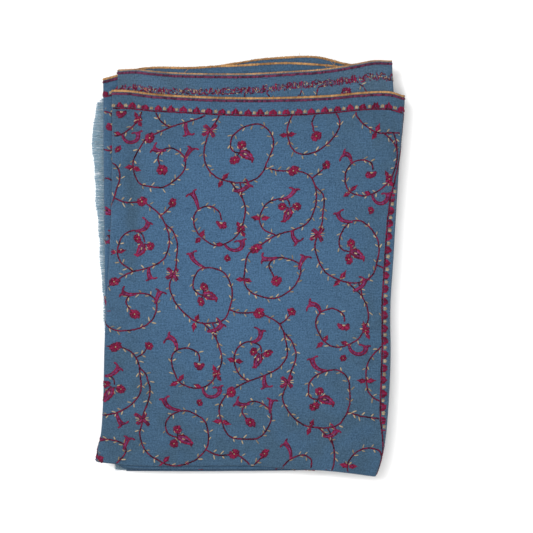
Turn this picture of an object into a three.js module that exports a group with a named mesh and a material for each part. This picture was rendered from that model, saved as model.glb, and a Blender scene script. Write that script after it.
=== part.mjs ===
// An embroidered stole, folded lengthways with its right side out and then across into a flat packet.
//
// Sizes are in millimetres. X runs along the stole's length, Y across its width towards the hemmed long
// edges, and Z is up. The packet lies on z = 0, with the origin under the middle of its bounding box.
//
// The cloth is one long rectangle. The lengthways fold gives a double strip, the front half and the back
// half, which meet in a fold along the packet's foot. Six cross folds turn that strip into seven leaves,
// so a side view cuts through fourteen layers. Layers are counted from 0, the lowest, to 13, the face.
import * as THREE from "three";

// ---- Driving sizes ----
const CLOTH = 1; // one layer of the cloth
const GAP = 0.3; // clearance between layers and between pieces that meet
const PITCH = CLOTH + GAP; // height from one layer to the next
const REACH = CLOTH + GAP / 2; // from the middle of a leaf's two layers to its outer face
const BEND = PITCH; // radius at which the middle of a leaf turns in a cross fold
const LIP = 3; // how far a fold's own piece goes on under the packet before the core takes over
const FACE_LAYER = 13;
const TURN_UNDER = 2 * PITCH; // what the turned-under end adds below the face at the right
const TURN_DEPTH = 25; // how far from the right fold the turned-under end stays at its full height
const TURN_SLOPE = 60; // the distance over which the face then comes down again
const SWELL = 0.5; // the height of the slow waves in the packet
const TUCK = 20; // how far a band that shows goes on beneath the layer above it
const EDGING_WIDTH = 1.6; // the hem's overcast edge, across
const EDGING_HEIGHT = 1; // and up
const HEM = EDGING_WIDTH + GAP; // from a hemmed line's outside to the end of the cloth itself
const FRINGE_THICK = 1;
const FRINGE_INSET = 1; // how far the fringe stays inside the lowest leaf's foot and hem

const bottomOf = (layer) => layer * PITCH;
const topOf = (layer) => layer * PITCH + CLOTH;
const middleOfLeaf = (lowerLayer) => (bottomOf(lowerLayer) + topOf(lowerLayer + 1)) / 2;

// ---- Outlines, a row for each station along a fold or a hem ----
// The face: where its left and right cross folds run, from its hem down to the foot.
const FACE_SIDES = [
  { y: 162, left: -125.5, right: 144.4 },
  { y: 107, left: -125.5, right: 139.6 },
  { y: 60, left: -126.2, right: 136.5 },
  { y: 14, left: -128, right: 133.8 },
  { y: -31, left: -130.5, right: 131 },
  { y: -77, left: -132.6, right: 131.2 },
  { y: -123, left: -133.6, right: 129.2 },
  { y: -160, left: -135.7, right: 125.5 },
  { y: -179, left: -139.6, right: 120.4 },
  { y: -194, left: -142, right: 115 },
];
const FACE_HEM = [
  { x: -126, y: 161.5 },
  { x: -108, y: 161 },
  { x: -88, y: 158.2 },
  { x: -44, y: 155.6 },
  { x: 2, y: 154.6 },
  { x: 40, y: 155.2 },
  { x: 76, y: 156.8 },
  { x: 104, y: 159.2 },
  { x: 130, y: 159.8 },
  { x: 144, y: 156 },
];
const FACE_FOOT = [
  { x: -140, y: -181.2 },
  { x: -122, y: -183 },
  { x: -99, y: -184.6 },
  { x: -62, y: -184.8 },
  { x: -8, y: -184.7 },
  { x: 16, y: -185.4 },
  { x: 36, y: -187.6 },
  { x: 75, y: -189.4 },
  { x: 94, y: -191.4 },
  { x: 107, y: -193.3 },
  { x: 116, y: -194.5 },
];
// The hem of the back half, whose wrong side shows above the face's hem.
const UNDER_HEM = [
  { x: -120.5, y: 180.4 },
  { x: -104, y: 181.2 },
  { x: -88, y: 179.4 },
  { x: -62, y: 177.6 },
  { x: -30, y: 177 },
  { x: 2, y: 177.2 },
  { x: 39, y: 179.2 },
  { x: 66, y: 181 },
  { x: 85, y: 183.6 },
  { x: 103, y: 186.8 },
  { x: 117, y: 189.2 },
  { x: 132.5, y: 189 },
];
const UNDER_SIDES = [
  { y: 130, left: -120, right: 133.4 },
  { y: 190, left: -120.5, right: 132.5 },
];
// Two lower layers whose hems bow out further still.
const THIRD_HEM = [
  { x: -109, y: 180.8 },
  { x: -88, y: 184.2 },
  { x: -67, y: 184.4 },
  { x: -49, y: 184.4 },
  { x: -30, y: 185.6 },
  { x: 25, y: 187.2 },
  { x: 48, y: 186.6 },
  { x: 66, y: 185 },
  { x: 84, y: 182 },
];
const FOURTH_HEM = [
  { x: -52, y: 181.6 },
  { x: -30, y: 186.4 },
  { x: -20, y: 188.6 },
  { x: -7, y: 190.6 },
  { x: 16, y: 193 },
  { x: 34, y: 194.5 },
  { x: 48, y: 194.5 },
  { x: 62, y: 194 },
  { x: 75, y: 192 },
  { x: 92, y: 188 },
];
// The next cross fold down, which shows as a strip beside the face's left fold.
const STRIP_SIDES = [
  { y: 176, left: -134.4 },
  { y: 107, left: -134.2 },
  { y: 14, left: -133.2 },
  { y: -77, left: -132.2 },
  { y: -190, left: -131 },
];
const STRIP_HEM = [
  { x: -134.4, y: 172.6 },
  { x: -121, y: 175.8 },
  { x: -110, y: 178.9 },
];
const STRIP_WIDTH = 24;
// The lowest leaf: its raw end, where the fringe starts, and the tips of the fringe.
const BASE_SIDES = [
  { y: 156, left: -132, right: 130.5 },
  { y: 134, left: -134.8, right: 130.5 },
  { y: 97, left: -132.8, right: 130.5 },
  { y: 14, left: -127.2, right: 130 },
  { y: -77, left: -121.2, right: 127.5 },
  { y: -189, left: -113.8, right: 118 },
];
const FRINGE_TIPS = [
  { y: 152, left: -139 },
  { y: 136, left: -143.4 },
  { y: 116, left: -144 },
  { y: 97, left: -141.8 },
  { y: 14, left: -136.4 },
  { y: -77, left: -130.4 },
  { y: -187, left: -122.8 },
];
const BASE_FOOT = [
  { x: -114, y: -192 },
  { x: -20, y: -192 },
  { x: 60, y: -190 },
  { x: 118, y: -186 },
];
const BASE_HEM = [
  { x: -134, y: 155 },
  { x: -60, y: 166 },
  { x: 60, y: 174 },
  { x: 131, y: 178 },
];
// The leaves inside the packet share these outlines.
const CORE_SIDES = [
  { y: 182, right: 130.6 },
  { y: 107, right: 130.6 },
  { y: 60, right: 130.2 },
  { y: 14, right: 129 },
  { y: -77, right: 127.4 },
  { y: -123, right: 125.4 },
  { y: -160, right: 121.5 },
  { y: -185, right: 116.5 },
];
const CORE_FOOT = [
  { x: -133, y: -179 },
  { x: -122, y: -183 },
  { x: -114, y: -188 },
  { x: -20, y: -189.4 },
  { x: 40, y: -189 },
  { x: 118, y: -187 },
];
const CORE_HEMS = [
  { x: -133, y: 164 },
  { x: -118, y: 176.5 },
  { x: -60, y: 174.5 },
  { x: 0, y: 174 },
  { x: 66, y: 178 },
  { x: 103, y: 183.5 },
  { x: 131, y: 184.5 },
];
// The core from its lowest layer up: the height of each ring, which fold its left side lies behind, and how
// far each side stays in from the outlines. Folds swell out between the rings, and deep rows are the slots
// in which the pieces that show lie.
const STEP = 0.05; // a step in the core's side, all but level
const CLEAR = 0.1; // the raised rings' clearance, above and below
const CORE_RINGS = [
  { z: bottomOf(2), behind: "strip", left: 2.4, right: 20, foot: 1.2, hem: 7 },
  { z: middleOfLeaf(2), behind: "strip", left: 0.9, right: 20, foot: 0, hem: 6.4 },
  { z: topOf(3), behind: "strip", left: 0.5, right: 20, foot: 1.2, hem: 6.4 },
  { z: bottomOf(4), behind: "strip", left: 0.5, right: 2.2, foot: 1.2, hem: 5.4 },
  { z: middleOfLeaf(4), behind: "strip", left: 0.9, right: 0.5, foot: 0, hem: 5 },
  { z: topOf(5), behind: "strip", left: 2.4, right: 0, foot: 1.2, hem: 5 },
  { z: topOf(5) + STEP, behind: "strip", left: 6.5, right: 0, foot: 1.3, hem: 28 },
  { z: bottomOf(7) - STEP, behind: "strip", left: 6.5, right: 0.5, foot: 0.2, hem: 28 },
  { z: bottomOf(7), behind: "strip", left: 2.7, right: 0.6, foot: 0.2, hem: 4 },
  { z: topOf(7), behind: "strip", left: 1.6, right: 2.2, foot: 1.2, hem: 3.6 },
  { z: bottomOf(8), behind: "strip", left: 1.6, right: 2.2, foot: 1.2, hem: 3 },
  { z: topOf(8) - STEP, behind: "strip", left: 2.7, right: 0.6, foot: 0.2, hem: 3 },
  { z: topOf(8), behind: "strip", left: 26, right: 0.6, foot: 0.2, hem: 28 },
  { z: topOf(9), behind: "strip", left: 26, right: 0.1, foot: 1.2, hem: 28 },
  { z: bottomOf(10) - STEP, behind: "strip", left: 26, right: 0.1, foot: 1.2, hem: 28 },
  { z: bottomOf(10), behind: "face", left: 8, right: 0.1, foot: 1.1, hem: 4.4 },
  { z: bottomOf(11), behind: "face", left: 8, right: 0.6, foot: 0.1, hem: 3 },
  { z: topOf(11), behind: "face", left: 8, right: 2.2, foot: 1.2, hem: 3 },
  { z: topOf(11) + STEP / 2, behind: "face", left: 8, right: 5, foot: 11, hem: 49 },
  { z: topOf(11) + CLEAR, behind: "face", left: 8, right: 5, foot: 11, hem: 49, raised: true },
  { z: topOf(12) - CLEAR, behind: "face", left: 8, right: 5, foot: 11, hem: 49, raised: true },
];

// ---- Stations, as shares of the way across or along a piece; closer where the face slopes ----
const ACROSS = [0, 0.12, 0.25, 0.37, 0.48, 0.57, 0.64, 0.7, 0.76, 0.82, 0.88, 0.94, 1];
const ALONG = [0, 0.03, 0.1, 0.19, 0.29, 0.4, 0.51, 0.62, 0.73, 0.83, 0.92, 1];
const BEND_STEPS = 4;

// ---- Reading the outlines ----
// The value of one column of a table at a place along its key, on a smooth curve through its rows.
function read(table, key, column, place) {
  const rows = [...table].sort((a, b) => a[key] - b[key]);
  const at = THREE.MathUtils.clamp(place, rows[0][key], rows.at(-1)[key]);
  let i = rows.findIndex((row) => row[key] >= at);
  i = Math.max(i, 1);
  const slope = (j) => {
    const before = rows[Math.max(j - 1, 0)];
    const after = rows[Math.min(j + 1, rows.length - 1)];
    return (after[column] - before[column]) / (after[key] - before[key]);
  };
  const [from, to] = [rows[i - 1], rows[i]];
  const span = to[key] - from[key];
  const t = (at - from[key]) / span;
  return (
    (2 * t ** 3 - 3 * t ** 2 + 1) * from[column] +
    (t ** 3 - 2 * t ** 2 + t) * span * slope(i - 1) +
    (3 * t ** 2 - 2 * t ** 3) * to[column] +
    (t ** 3 - t ** 2) * span * slope(i)
  );
}
const sideOf = (table, column) => (y) => read(table, "y", column, y);
const lineOf = (table, inwards = 0) => (x) => read(table, "x", "y", x) + inwards;
const mix = THREE.MathUtils.lerp;

// How far the turned-under end lifts what lies on it.
function rise(x, y) {
  const fromFold = read(FACE_SIDES, "y", "right", y) - x;
  return TURN_UNDER * (1 - THREE.MathUtils.smoothstep(fromFold, TURN_DEPTH, TURN_DEPTH + TURN_SLOPE));
}

// The slow waves of a hand-folded packet, which grow from nothing at its flat underside.
function settled(point) {
  const wave = Math.sin(point.x / 47 + 0.6) * Math.cos(point.y / 61 - 0.4);
  return new THREE.Vector3(point.x, point.y, point.z * (1 + (SWELL * wave) / topOf(FACE_LAYER)));
}

// ---- Solids ----
function solid(points, triangles) {
  const geometry = new THREE.BufferGeometry();
  const positions = points.map(settled).flatMap((p) => [p.x, p.y, p.z]);
  geometry.setAttribute("position", new THREE.Float32BufferAttribute(positions, 3));
  geometry.setIndex(triangles);
  geometry.computeVertexNormals();
  return geometry;
}

// A closed wall between two grids of points, the outer face and the inner face of the same cloth.
function wall(outer, inner) {
  const [rows, columns] = [outer.length, outer[0].length];
  const at = (face, i, j) => (face * rows + i) * columns + j;
  const triangles = [];
  const quad = (a, b, c, d) => triangles.push(a, b, c, a, c, d);
  for (let i = 0; i < rows - 1; i++)
    for (let j = 0; j < columns - 1; j++) {
      quad(at(0, i, j), at(0, i + 1, j), at(0, i + 1, j + 1), at(0, i, j + 1));
      quad(at(1, i, j), at(1, i, j + 1), at(1, i + 1, j + 1), at(1, i + 1, j));
    }
  for (let i = 0; i < rows - 1; i++) {
    quad(at(0, i, 0), at(1, i, 0), at(1, i + 1, 0), at(0, i + 1, 0));
    quad(at(0, i, columns - 1), at(0, i + 1, columns - 1), at(1, i + 1, columns - 1), at(1, i, columns - 1));
  }
  for (let j = 0; j < columns - 1; j++) {
    quad(at(0, 0, j), at(0, 0, j + 1), at(1, 0, j + 1), at(1, 0, j));
    quad(at(0, rows - 1, j), at(1, rows - 1, j), at(1, rows - 1, j + 1), at(0, rows - 1, j + 1));
  }
  return solid([...outer.flat(), ...inner.flat()], triangles);
}

// The way a leaf goes in a cut across the packet, at one place down it: under its left fold, over the packet
// and under its right fold. Each stop has its place on the leaf's middle line and the direction outwards.
function crossing({ left, right, middle, outer, leftFold, rightFold, lip = LIP, raised = true }, y) {
  const turn = BEND + outer; // from a fold's outside to the centre it turns about
  const start = left(y) + (leftFold ? turn : 0);
  const end = right(y) - (rightFold ? turn : 0);
  const lift = (x) => (raised ? rise(x, y) : 0);
  const stops = ACROSS.map((share) => {
    const x = mix(start, end, share);
    return { x, z: middle + lift(x), nx: 0, nz: 1 };
  });
  const bend = (centreX, height, side) => {
    const turned = [];
    for (let k = 1; k <= BEND_STEPS; k++) {
      const angle = (Math.PI * k) / BEND_STEPS;
      const [nx, nz] = [side * Math.sin(angle), Math.cos(angle)];
      turned.push({ x: centreX + BEND * nx, z: height - BEND + BEND * nz, nx, nz });
    }
    if (lip) turned.push({ x: centreX - side * lip, z: height - 2 * BEND, nx: 0, nz: -1 });
    return turned;
  };
  const under = leftFold ? bend(start, middle + lift(start), -1).reverse() : [];
  const over = rightFold ? bend(end, middle + lift(end), 1) : [];
  return [...under, ...stops, ...over];
}

// The stations of a leaf down the packet, from its foot to its hem: the share of that way, how far in from
// the foot, and how the leaf's outer and inner faces stand off its middle line as the foot fold turns.
function stationsOf({ outer, inner, footFold }) {
  const flat = ALONG.map((share) => ({ share, from: footFold ? outer : 0, outer, inner }));
  if (!footFold) return flat;
  const turned = [];
  for (let k = 1; k <= BEND_STEPS; k++) {
    const angle = (Math.PI * k) / BEND_STEPS;
    const face = (radius) => ({ from: outer - radius * Math.sin(angle), off: radius * Math.cos(angle) });
    turned.push({ share: 0, outerFace: face(outer), innerFace: face(inner) });
  }
  const under = { from: outer + LIP, off: -outer };
  turned.push({ share: 0, outerFace: under, innerFace: { from: outer + LIP, off: -inner } });
  return [...turned.reverse(), ...flat];
}

// A piece of one layer of the cloth, with whichever of its folds it has.
function foldedPiece(piece) {
  const stations = stationsOf(piece);
  const [footY, hemY] = [piece.foot(0), piece.hem(0)];
  const gridOf = (side) =>
    stations.map((station) => {
      const { from, off } = station[side + "Face"] ?? { from: station.from, off: station[side] };
      return crossing(piece, mix(footY, hemY, station.share)).map(({ x, z, nx, nz }) => {
        const foot = piece.foot(x) + from;
        return new THREE.Vector3(x + nx * off, mix(foot, piece.hem(x), station.share), z + nz * off);
      });
    });
  const turned = (grid) => grid[0].map((_, i) => grid.map((line) => line[i]));
  return wall(turned(gridOf("outer")), turned(gridOf("inner")));
}

// The overcast edge along a piece's hem: an oval cord that follows the cloth round its folds.
function edgingOf(piece) {
  const sides = 6;
  const off = (piece.outer + piece.inner) / 2;
  const stops = crossing(piece, piece.hem(0));
  const points = stops.flatMap(({ x, z, nx, nz }) =>
    Array.from({ length: sides }, (_, k) => {
      const angle = (2 * Math.PI * k) / sides;
      const across = piece.hem(x) + HEM - (EDGING_WIDTH / 2) * (1 - Math.cos(angle));
      const up = off + (EDGING_HEIGHT / 2) * Math.sin(angle);
      return new THREE.Vector3(x + nx * up, across, z + nz * up);
    }),
  );
  const triangles = [];
  const last = (stops.length - 1) * sides;
  for (let ring = 0; ring < last; ring += sides)
    for (let k = 0; k < sides; k++) {
      const [a, b] = [ring + k, ring + ((k + 1) % sides)];
      triangles.push(a, b, a + sides, b, b + sides, a + sides);
    }
  for (let k = 1; k < sides - 1; k++) triangles.push(0, k + 1, k, last, last + k, last + k + 1);
  return solid(points, triangles);
}

// The hidden leaves as one solid, built from rings around the packet and closed by a grid below and above.
function coreOf(rings) {
  const [columns, rows] = [ACROSS.length, ALONG.length];
  const grids = rings.map((ring) => {
    const left = ring.behind === "face" ? FACE_SIDES : STRIP_SIDES;
    return ACROSS.map((across) =>
      ALONG.map((along) => {
        const y = mix(CORE_FOOT[3].y, CORE_HEMS[2].y, along);
        const x = mix(
          read(left, "y", "left", y) + ring.left,
          read(CORE_SIDES, "y", "right", y) - ring.right,
          across,
        );
        const [foot, hem] = [lineOf(CORE_FOOT, ring.foot)(x), lineOf(CORE_HEMS, -ring.hem)(x)];
        const lift = ring.raised ? rise(x, y) : 0;
        return new THREE.Vector3(x, mix(foot, hem, along), ring.z + lift);
      }),
    );
  });
  const loop = [];
  for (let i = 0; i < columns - 1; i++) loop.push([i, 0]);
  for (let j = 0; j < rows - 1; j++) loop.push([columns - 1, j]);
  for (let i = columns - 1; i > 0; i--) loop.push([i, rows - 1]);
  for (let j = rows - 1; j > 0; j--) loop.push([0, j]);

  const floor = grids[0].flat();
  const roof = grids.at(-1).flat();
  const points = [...floor, ...roof];
  const inGrid = (start) => ([i, j]) => start + i * rows + j;
  const loops = grids.map((grid, n) => {
    if (n === 0) return loop.map(inGrid(0));
    if (n === grids.length - 1) return loop.map(inGrid(floor.length));
    const start = points.length;
    points.push(...loop.map(([i, j]) => grid[i][j]));
    return loop.map((_, k) => start + k);
  });

  const triangles = [];
  const quad = (a, b, c, d) => triangles.push(a, b, c, a, c, d);
  for (let i = 0; i < columns - 1; i++)
    for (let j = 0; j < rows - 1; j++) {
      const corners = [[i, j], [i + 1, j], [i + 1, j + 1], [i, j + 1]];
      quad(...corners.map(inGrid(0)).reverse());
      quad(...corners.map(inGrid(floor.length)));
    }
  for (let n = 0; n < loops.length - 1; n++)
    for (let k = 0; k < loop.length; k++) {
      const next = (k + 1) % loop.length;
      quad(loops[n][k], loops[n][next], loops[n + 1][next], loops[n + 1][k]);
    }
  return solid(points, triangles);
}

// ---- Pieces ----
// The face: the front half of the first leaf, over both cross folds and round the foot fold.
const face = {
  middle: middleOfLeaf(FACE_LAYER - 1),
  outer: REACH,
  inner: GAP / 2,
  left: sideOf(FACE_SIDES, "left"),
  right: sideOf(FACE_SIDES, "right"),
  foot: lineOf(FACE_FOOT),
  hem: lineOf(FACE_HEM, -HEM),
  leftFold: true,
  rightFold: true,
  footFold: true,
};
// The back half of the same leaf, from where it comes out from under the face up to its hem.
const under = {
  ...face,
  outer: -GAP / 2,
  inner: -REACH,
  left: sideOf(UNDER_SIDES, "left"),
  right: sideOf(UNDER_SIDES, "right"),
  foot: lineOf(FACE_HEM, -TUCK),
  hem: lineOf(UNDER_HEM, -HEM),
  lip: 0,
  footFold: false,
};
// A band of one hidden layer that comes out beyond the hems above it.
const band = (layer, hem) => ({
  middle: bottomOf(layer) + CLOTH / 2,
  outer: CLOTH / 2,
  inner: -CLOTH / 2,
  left: () => hem[0].x,
  right: () => hem.at(-1).x,
  foot: lineOf(hem, -HEM - TUCK),
  hem: lineOf(hem, -HEM),
  raised: false,
});
const third = band(9, THIRD_HEM);
const fourth = band(6, FOURTH_HEM);
// The strip beside the face's left fold: the next cross fold down, from layer 9 round to layer 6.
const strip = {
  ...face,
  middle: middleOfLeaf(8),
  left: sideOf(STRIP_SIDES, "left"),
  right: (y) => read(STRIP_SIDES, "y", "left", y) + STRIP_WIDTH,
  foot: lineOf(CORE_FOOT, GAP),
  hem: lineOf(STRIP_HEM, -HEM),
  rightFold: false,
  footFold: false,
  raised: false,
};

// The lowest leaf, both its layers in one wall: from its raw end, along the surface it rests on and back over
// itself in a fold at the right.
function basePiece() {
  const foldBack = 11; // how far the leaf above goes on past its fold before the core takes over
  const roundOff = [0.35, 0.8, 1]; // the foot fold's thickness as a share, at its edge and just inside it
  const inFromFoot = [0, 0.5, 1.4];
  const stations = [
    ...inFromFoot.map((from, k) => ({ share: 0, from, thick: roundOff[k] })),
    ...ALONG.slice(1).map((share) => ({ share, from: inFromFoot.at(-1), thick: 1 })),
  ];
  const piece = {
    middle: REACH,
    outer: REACH,
    left: sideOf(BASE_SIDES, "left"),
    right: sideOf(BASE_SIDES, "right"),
    leftFold: false,
    rightFold: true,
    raised: false,
  };
  const [foot, hem] = [lineOf(BASE_FOOT), lineOf(BASE_HEM)];
  // The fold turns upwards, so the crossing is read upside down about the leaf's own middle line.
  const grid = (side) =>
    stations.map(({ share, from, thick }) =>
      crossing({ ...piece, lip: foldBack }, mix(foot(0), hem(0), share)).map(({ x, z, nx, nz }) => {
        const off = side * REACH * thick;
        const y = mix(foot(x) + from, hem(x), share);
        return new THREE.Vector3(x + nx * off, y, 2 * REACH - z - nz * off);
      }),
    );
  return wall(grid(1), grid(-1));
}

// The fringe along the raw end, as the flat band that its threads reach over.
function fringePiece() {
  const [foot, hem, rawEnd] = [lineOf(BASE_FOOT, FRINGE_INSET), lineOf(BASE_HEM, -FRINGE_INSET), sideOf(BASE_SIDES, "left")];
  const ends = ALONG.map((share) => {
    const rootX = rawEnd(mix(BASE_FOOT[1].y, BASE_HEM[1].y, share));
    const y = mix(foot(rootX), hem(rootX), share);
    return { y, rootX: rootX - 2 * GAP, tipX: read(FRINGE_TIPS, "y", "left", y) };
  });
  const grid = (z) =>
    [0, 0.5, 1].map((share) => ends.map((end) => new THREE.Vector3(mix(end.tipX, end.rootX, share), end.y, z)));
  return wall(grid(FRINGE_THICK), grid(0));
}

// ---- The stole ----
const blueCloth = { color: 0x4b6783, roughness: 0.95, metalness: 0 };
const innerCloth = { color: 0x45607a, roughness: 0.95, metalness: 0 };
const looseThreads = { color: 0x86a2b3, roughness: 0.95, metalness: 0 };
const ochreSilk = { color: 0xc89650, roughness: 0.6, metalness: 0 };

const stole = new THREE.Group();
function add(name, geometry, finish) {
  const mesh = new THREE.Mesh(geometry, new THREE.MeshStandardMaterial(finish));
  mesh.name = name;
  stole.add(mesh);
}
add("top_panel", foldedPiece(face), blueCloth);
add("under_panel", foldedPiece(under), blueCloth);
add("third_panel", foldedPiece(third), blueCloth);
add("fourth_panel", foldedPiece(fourth), blueCloth);
add("side_strip", foldedPiece(strip), blueCloth);
add("folded_core", coreOf(CORE_RINGS), innerCloth);
add("base_panel", basePiece(), blueCloth);
add("end_fringe", fringePiece(), looseThreads);
add("edging_top_panel", edgingOf(face), ochreSilk);
add("edging_under_panel", edgingOf(under), ochreSilk);
add("edging_third_panel", edgingOf(third), ochreSilk);
add("edging_fourth_panel", edgingOf(fourth), ochreSilk);
add("edging_side_strip", edgingOf(strip), ochreSilk);

export default stole;
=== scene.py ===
import math

import bpy
import numpy as np
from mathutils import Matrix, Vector


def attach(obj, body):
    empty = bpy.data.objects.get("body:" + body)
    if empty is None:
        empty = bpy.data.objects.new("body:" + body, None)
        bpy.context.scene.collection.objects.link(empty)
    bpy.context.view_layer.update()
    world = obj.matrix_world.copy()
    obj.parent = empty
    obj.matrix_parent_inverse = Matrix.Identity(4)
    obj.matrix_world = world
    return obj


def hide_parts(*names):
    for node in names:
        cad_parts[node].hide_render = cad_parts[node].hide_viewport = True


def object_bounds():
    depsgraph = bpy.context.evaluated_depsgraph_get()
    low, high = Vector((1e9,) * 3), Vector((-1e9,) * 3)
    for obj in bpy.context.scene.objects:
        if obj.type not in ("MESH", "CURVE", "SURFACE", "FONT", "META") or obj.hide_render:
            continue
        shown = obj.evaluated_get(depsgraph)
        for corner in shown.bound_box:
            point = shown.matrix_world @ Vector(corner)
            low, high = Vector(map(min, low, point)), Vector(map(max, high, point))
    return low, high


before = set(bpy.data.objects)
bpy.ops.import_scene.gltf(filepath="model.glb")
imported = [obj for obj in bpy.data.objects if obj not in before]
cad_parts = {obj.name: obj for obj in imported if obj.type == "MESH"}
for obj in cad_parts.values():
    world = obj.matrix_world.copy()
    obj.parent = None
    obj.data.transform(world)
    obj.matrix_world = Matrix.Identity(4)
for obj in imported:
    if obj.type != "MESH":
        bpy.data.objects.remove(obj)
cad_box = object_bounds()

# ---- Camera, light and floor ----
# The packet lies on a plain pale floor under a broad soft sky of studio light. The camera looks straight
# down on it, with the hemmed edges at the top of the picture.
MM = 0.001
FACE_HEIGHT = cad_box[1].z
VIEW_WIDTH = 490.4 * MM
LENS = 85
SENSOR = 36
VIEW_CENTRE = (17.0 * MM, -0.9 * MM)

camera_data = bpy.data.cameras.new("camera")
camera_data.lens = LENS
camera_data.sensor_width = SENSOR
camera = bpy.data.objects.new("camera", camera_data)
camera.location = (*VIEW_CENTRE, FACE_HEIGHT + VIEW_WIDTH * LENS / SENSOR)
bpy.context.collection.objects.link(camera)
bpy.context.scene.camera = camera

FLOOR_SIZE = 6
FLOOR_DROP = 0.2 * MM  # below z = 0, to clear the lowest stitches
bpy.ops.mesh.primitive_plane_add(size=FLOOR_SIZE, location=(0, 0, -FLOOR_DROP))
floor = bpy.context.object
floor.name = "floor"
floor_finish = bpy.data.materials.new("floor_paint")
floor_finish.use_nodes = True
floor_shader = floor_finish.node_tree.nodes["Principled BSDF"]
floor_shader.inputs["Base Color"].default_value = (0.93, 0.93, 0.93, 1)
floor_shader.inputs["Roughness"].default_value = 0.9
floor.data.materials.append(floor_finish)
bpy.context.scene.view_settings.view_transform = "Standard"

sky = bpy.data.worlds.new("studio")
sky.use_nodes = True
sky.node_tree.nodes["Background"].inputs["Color"].default_value = (1, 0.99, 0.98, 1)
sky.node_tree.nodes["Background"].inputs["Strength"].default_value = 0.8
bpy.context.scene.world = sky

LAMPS = {
    "key_light": {"at": (-1.7, 1.0, 2.3), "size": 1.2, "watts": 66},
    "top_light": {"at": (-0.005, 0.01, 0.4), "size": 0.24, "watts": 0.9},
    "fill_light": {"at": (0.7, -1.3, 1.3), "size": 1.6, "watts": 5},
}
for name, lamp in LAMPS.items():
    light = bpy.data.lights.new(name, "AREA")
    light.size = lamp["size"]
    light.energy = lamp["watts"]
    light_object = bpy.data.objects.new(name, light)
    light_object.location = lamp["at"]
    light_object.visible_camera = False
    light_object.rotation_euler = (-Vector(lamp["at"])).to_track_quat("-Z", "Y").to_euler()
    bpy.context.collection.objects.link(light_object)

# ---- The folded cloth ----
# One length of fine wool, folded lengthways with its right side out and then across into seven leaves.
# Each leaf is two layers, the front half of the width and the back half, and the first leaf's end is
# turned under at the right.
CLOTH = 0.5  # thickness, mm
PITCH = 1.3  # from one layer to the next
HALF = PITCH / 2  # from the middle of a leaf to each of its layers
LEAVES = 7
LOWEST = 0.5  # height of the lowest layer's middle
TURN_UNDER = 2 * PITCH  # what the turned-under end adds below the face at the right
TURN_DEPTH = 25  # how far from the right fold the face stays lifted by all of it
TURN_SLOPE = 38  # over how much more the face comes down from it
END_DEPTH = 30  # how far the turned-under end reaches beneath the face


def smooth_line(rows):
    """A smooth curve through rows of (place, value), held level beyond its ends."""
    places, values = np.array(sorted(rows), float).T
    slopes = np.empty(len(places))
    slopes[1:-1] = (values[2:] - values[:-2]) / (places[2:] - places[:-2])
    slopes[0] = (values[1] - values[0]) / (places[1] - places[0])
    slopes[-1] = (values[-1] - values[-2]) / (places[-1] - places[-2])

    def value(place):
        at = np.clip(place, places[0], places[-1])
        i = np.clip(np.searchsorted(places, at), 1, len(places) - 1)
        span = places[i] - places[i - 1]
        t = (at - places[i - 1]) / span
        rise = (2 * t**3 - 3 * t**2 + 1) * values[i - 1] + (3 * t**2 - 2 * t**3) * values[i]
        lean = (t**3 - 2 * t**2 + t) * slopes[i - 1] + (t**3 - t**2) * slopes[i]
        return rise + span * lean

    return value


def smoothstep(value, low, high):
    t = np.clip((value - low) / (high - low), 0, 1)
    return t * t * (3 - 2 * t)


def mix(a, b, share):
    return a + (b - a) * share


# The outermost line of each cross fold, down the packet, in mm: (y, x).
FACE_LEFT = [(162, -125.5), (107, -125.5), (60, -126.2), (14, -128), (-31, -130.5), (-77, -132.6),
             (-123, -133.6), (-160, -135.7), (-179, -139.6), (-194, -142)]
FACE_RIGHT = [(162, 144.4), (107, 139.6), (60, 136.5), (14, 133.8), (-31, 131), (-77, 131.2),
              (-123, 129.2), (-160, 125.5), (-179, 120.4), (-194, 115)]
BAND_LEFT = [(190, -120.5), (130, -120)]
BAND_RIGHT = [(190, 132.5), (130, 133.4)]
STRIP_LEFT = [(176, -134.4), (107, -134.2), (14, -133.2), (-77, -132.2), (-190, -131)]
INNER_RIGHT = [(182, 130.6), (60, 130.2), (14, 129), (-77, 127.4), (-123, 125.4), (-160, 121.5),
               (-185, 116.5)]
BASE_RIGHT = [(156, 130.5), (97, 130.5), (14, 130), (-77, 127.5), (-189, 118)]
RAW_END = [(156, -132), (134, -134.8), (97, -132.8), (14, -127.2), (-77, -121.2), (-189, -113.8)]
# The feet of the leaves and the hems of their two halves, across the packet: (x, y).
FACE_FOOT = [(-140, -181.2), (-122, -183), (-99, -184.6), (-62, -184.8), (-8, -184.7), (16, -185.4),
             (36, -187.6), (75, -189.4), (94, -191.4), (107, -193.3), (116, -194.5)]
INNER_FOOT = [(-133, -179), (-122, -183), (-114, -188), (-20, -189.4), (40, -189), (118, -187)]
BASE_FOOT = [(-114, -192), (-20, -192), (60, -190), (118, -186)]
FRONT_HEMS = [
    [(-126, 161.5), (-108, 161), (-88, 158.2), (-44, 155.6), (2, 154.6), (40, 155.2), (76, 156.8),
     (104, 159.2), (130, 159.8), (144, 156)],
    [(-126, 161.5), (-60, 163), (30, 168), (130, 172)],
    [(130, 174), (104, 180.5), (86, 184.1), (75, 185.6), (50, 187.4), (34, 187.9), (18, 187.3),
     (-10, 185.6), (-30, 184.8), (-54, 183.4), (-88, 183.6), (-109, 180.8), (-121, 176.4),
     (-134.4, 172.6)],
    [(-134.4, 172.6), (-100, 175), (-70, 178), (-52, 181.6), (-30, 185.2), (-20, 187), (-6, 189.2),
     (9, 191.7), (24, 193), (39, 194), (57, 194.5), (68, 193.4), (75, 191.7), (92, 187.4), (130, 182)],
    [(130, 181), (40, 178), (-60, 171), (-133, 166)],
    [(-133, 166), (-40, 170), (60, 174), (130, 177)],
    [(130, 177), (60, 174), (-60, 166), (-134, 155)],
]
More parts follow.
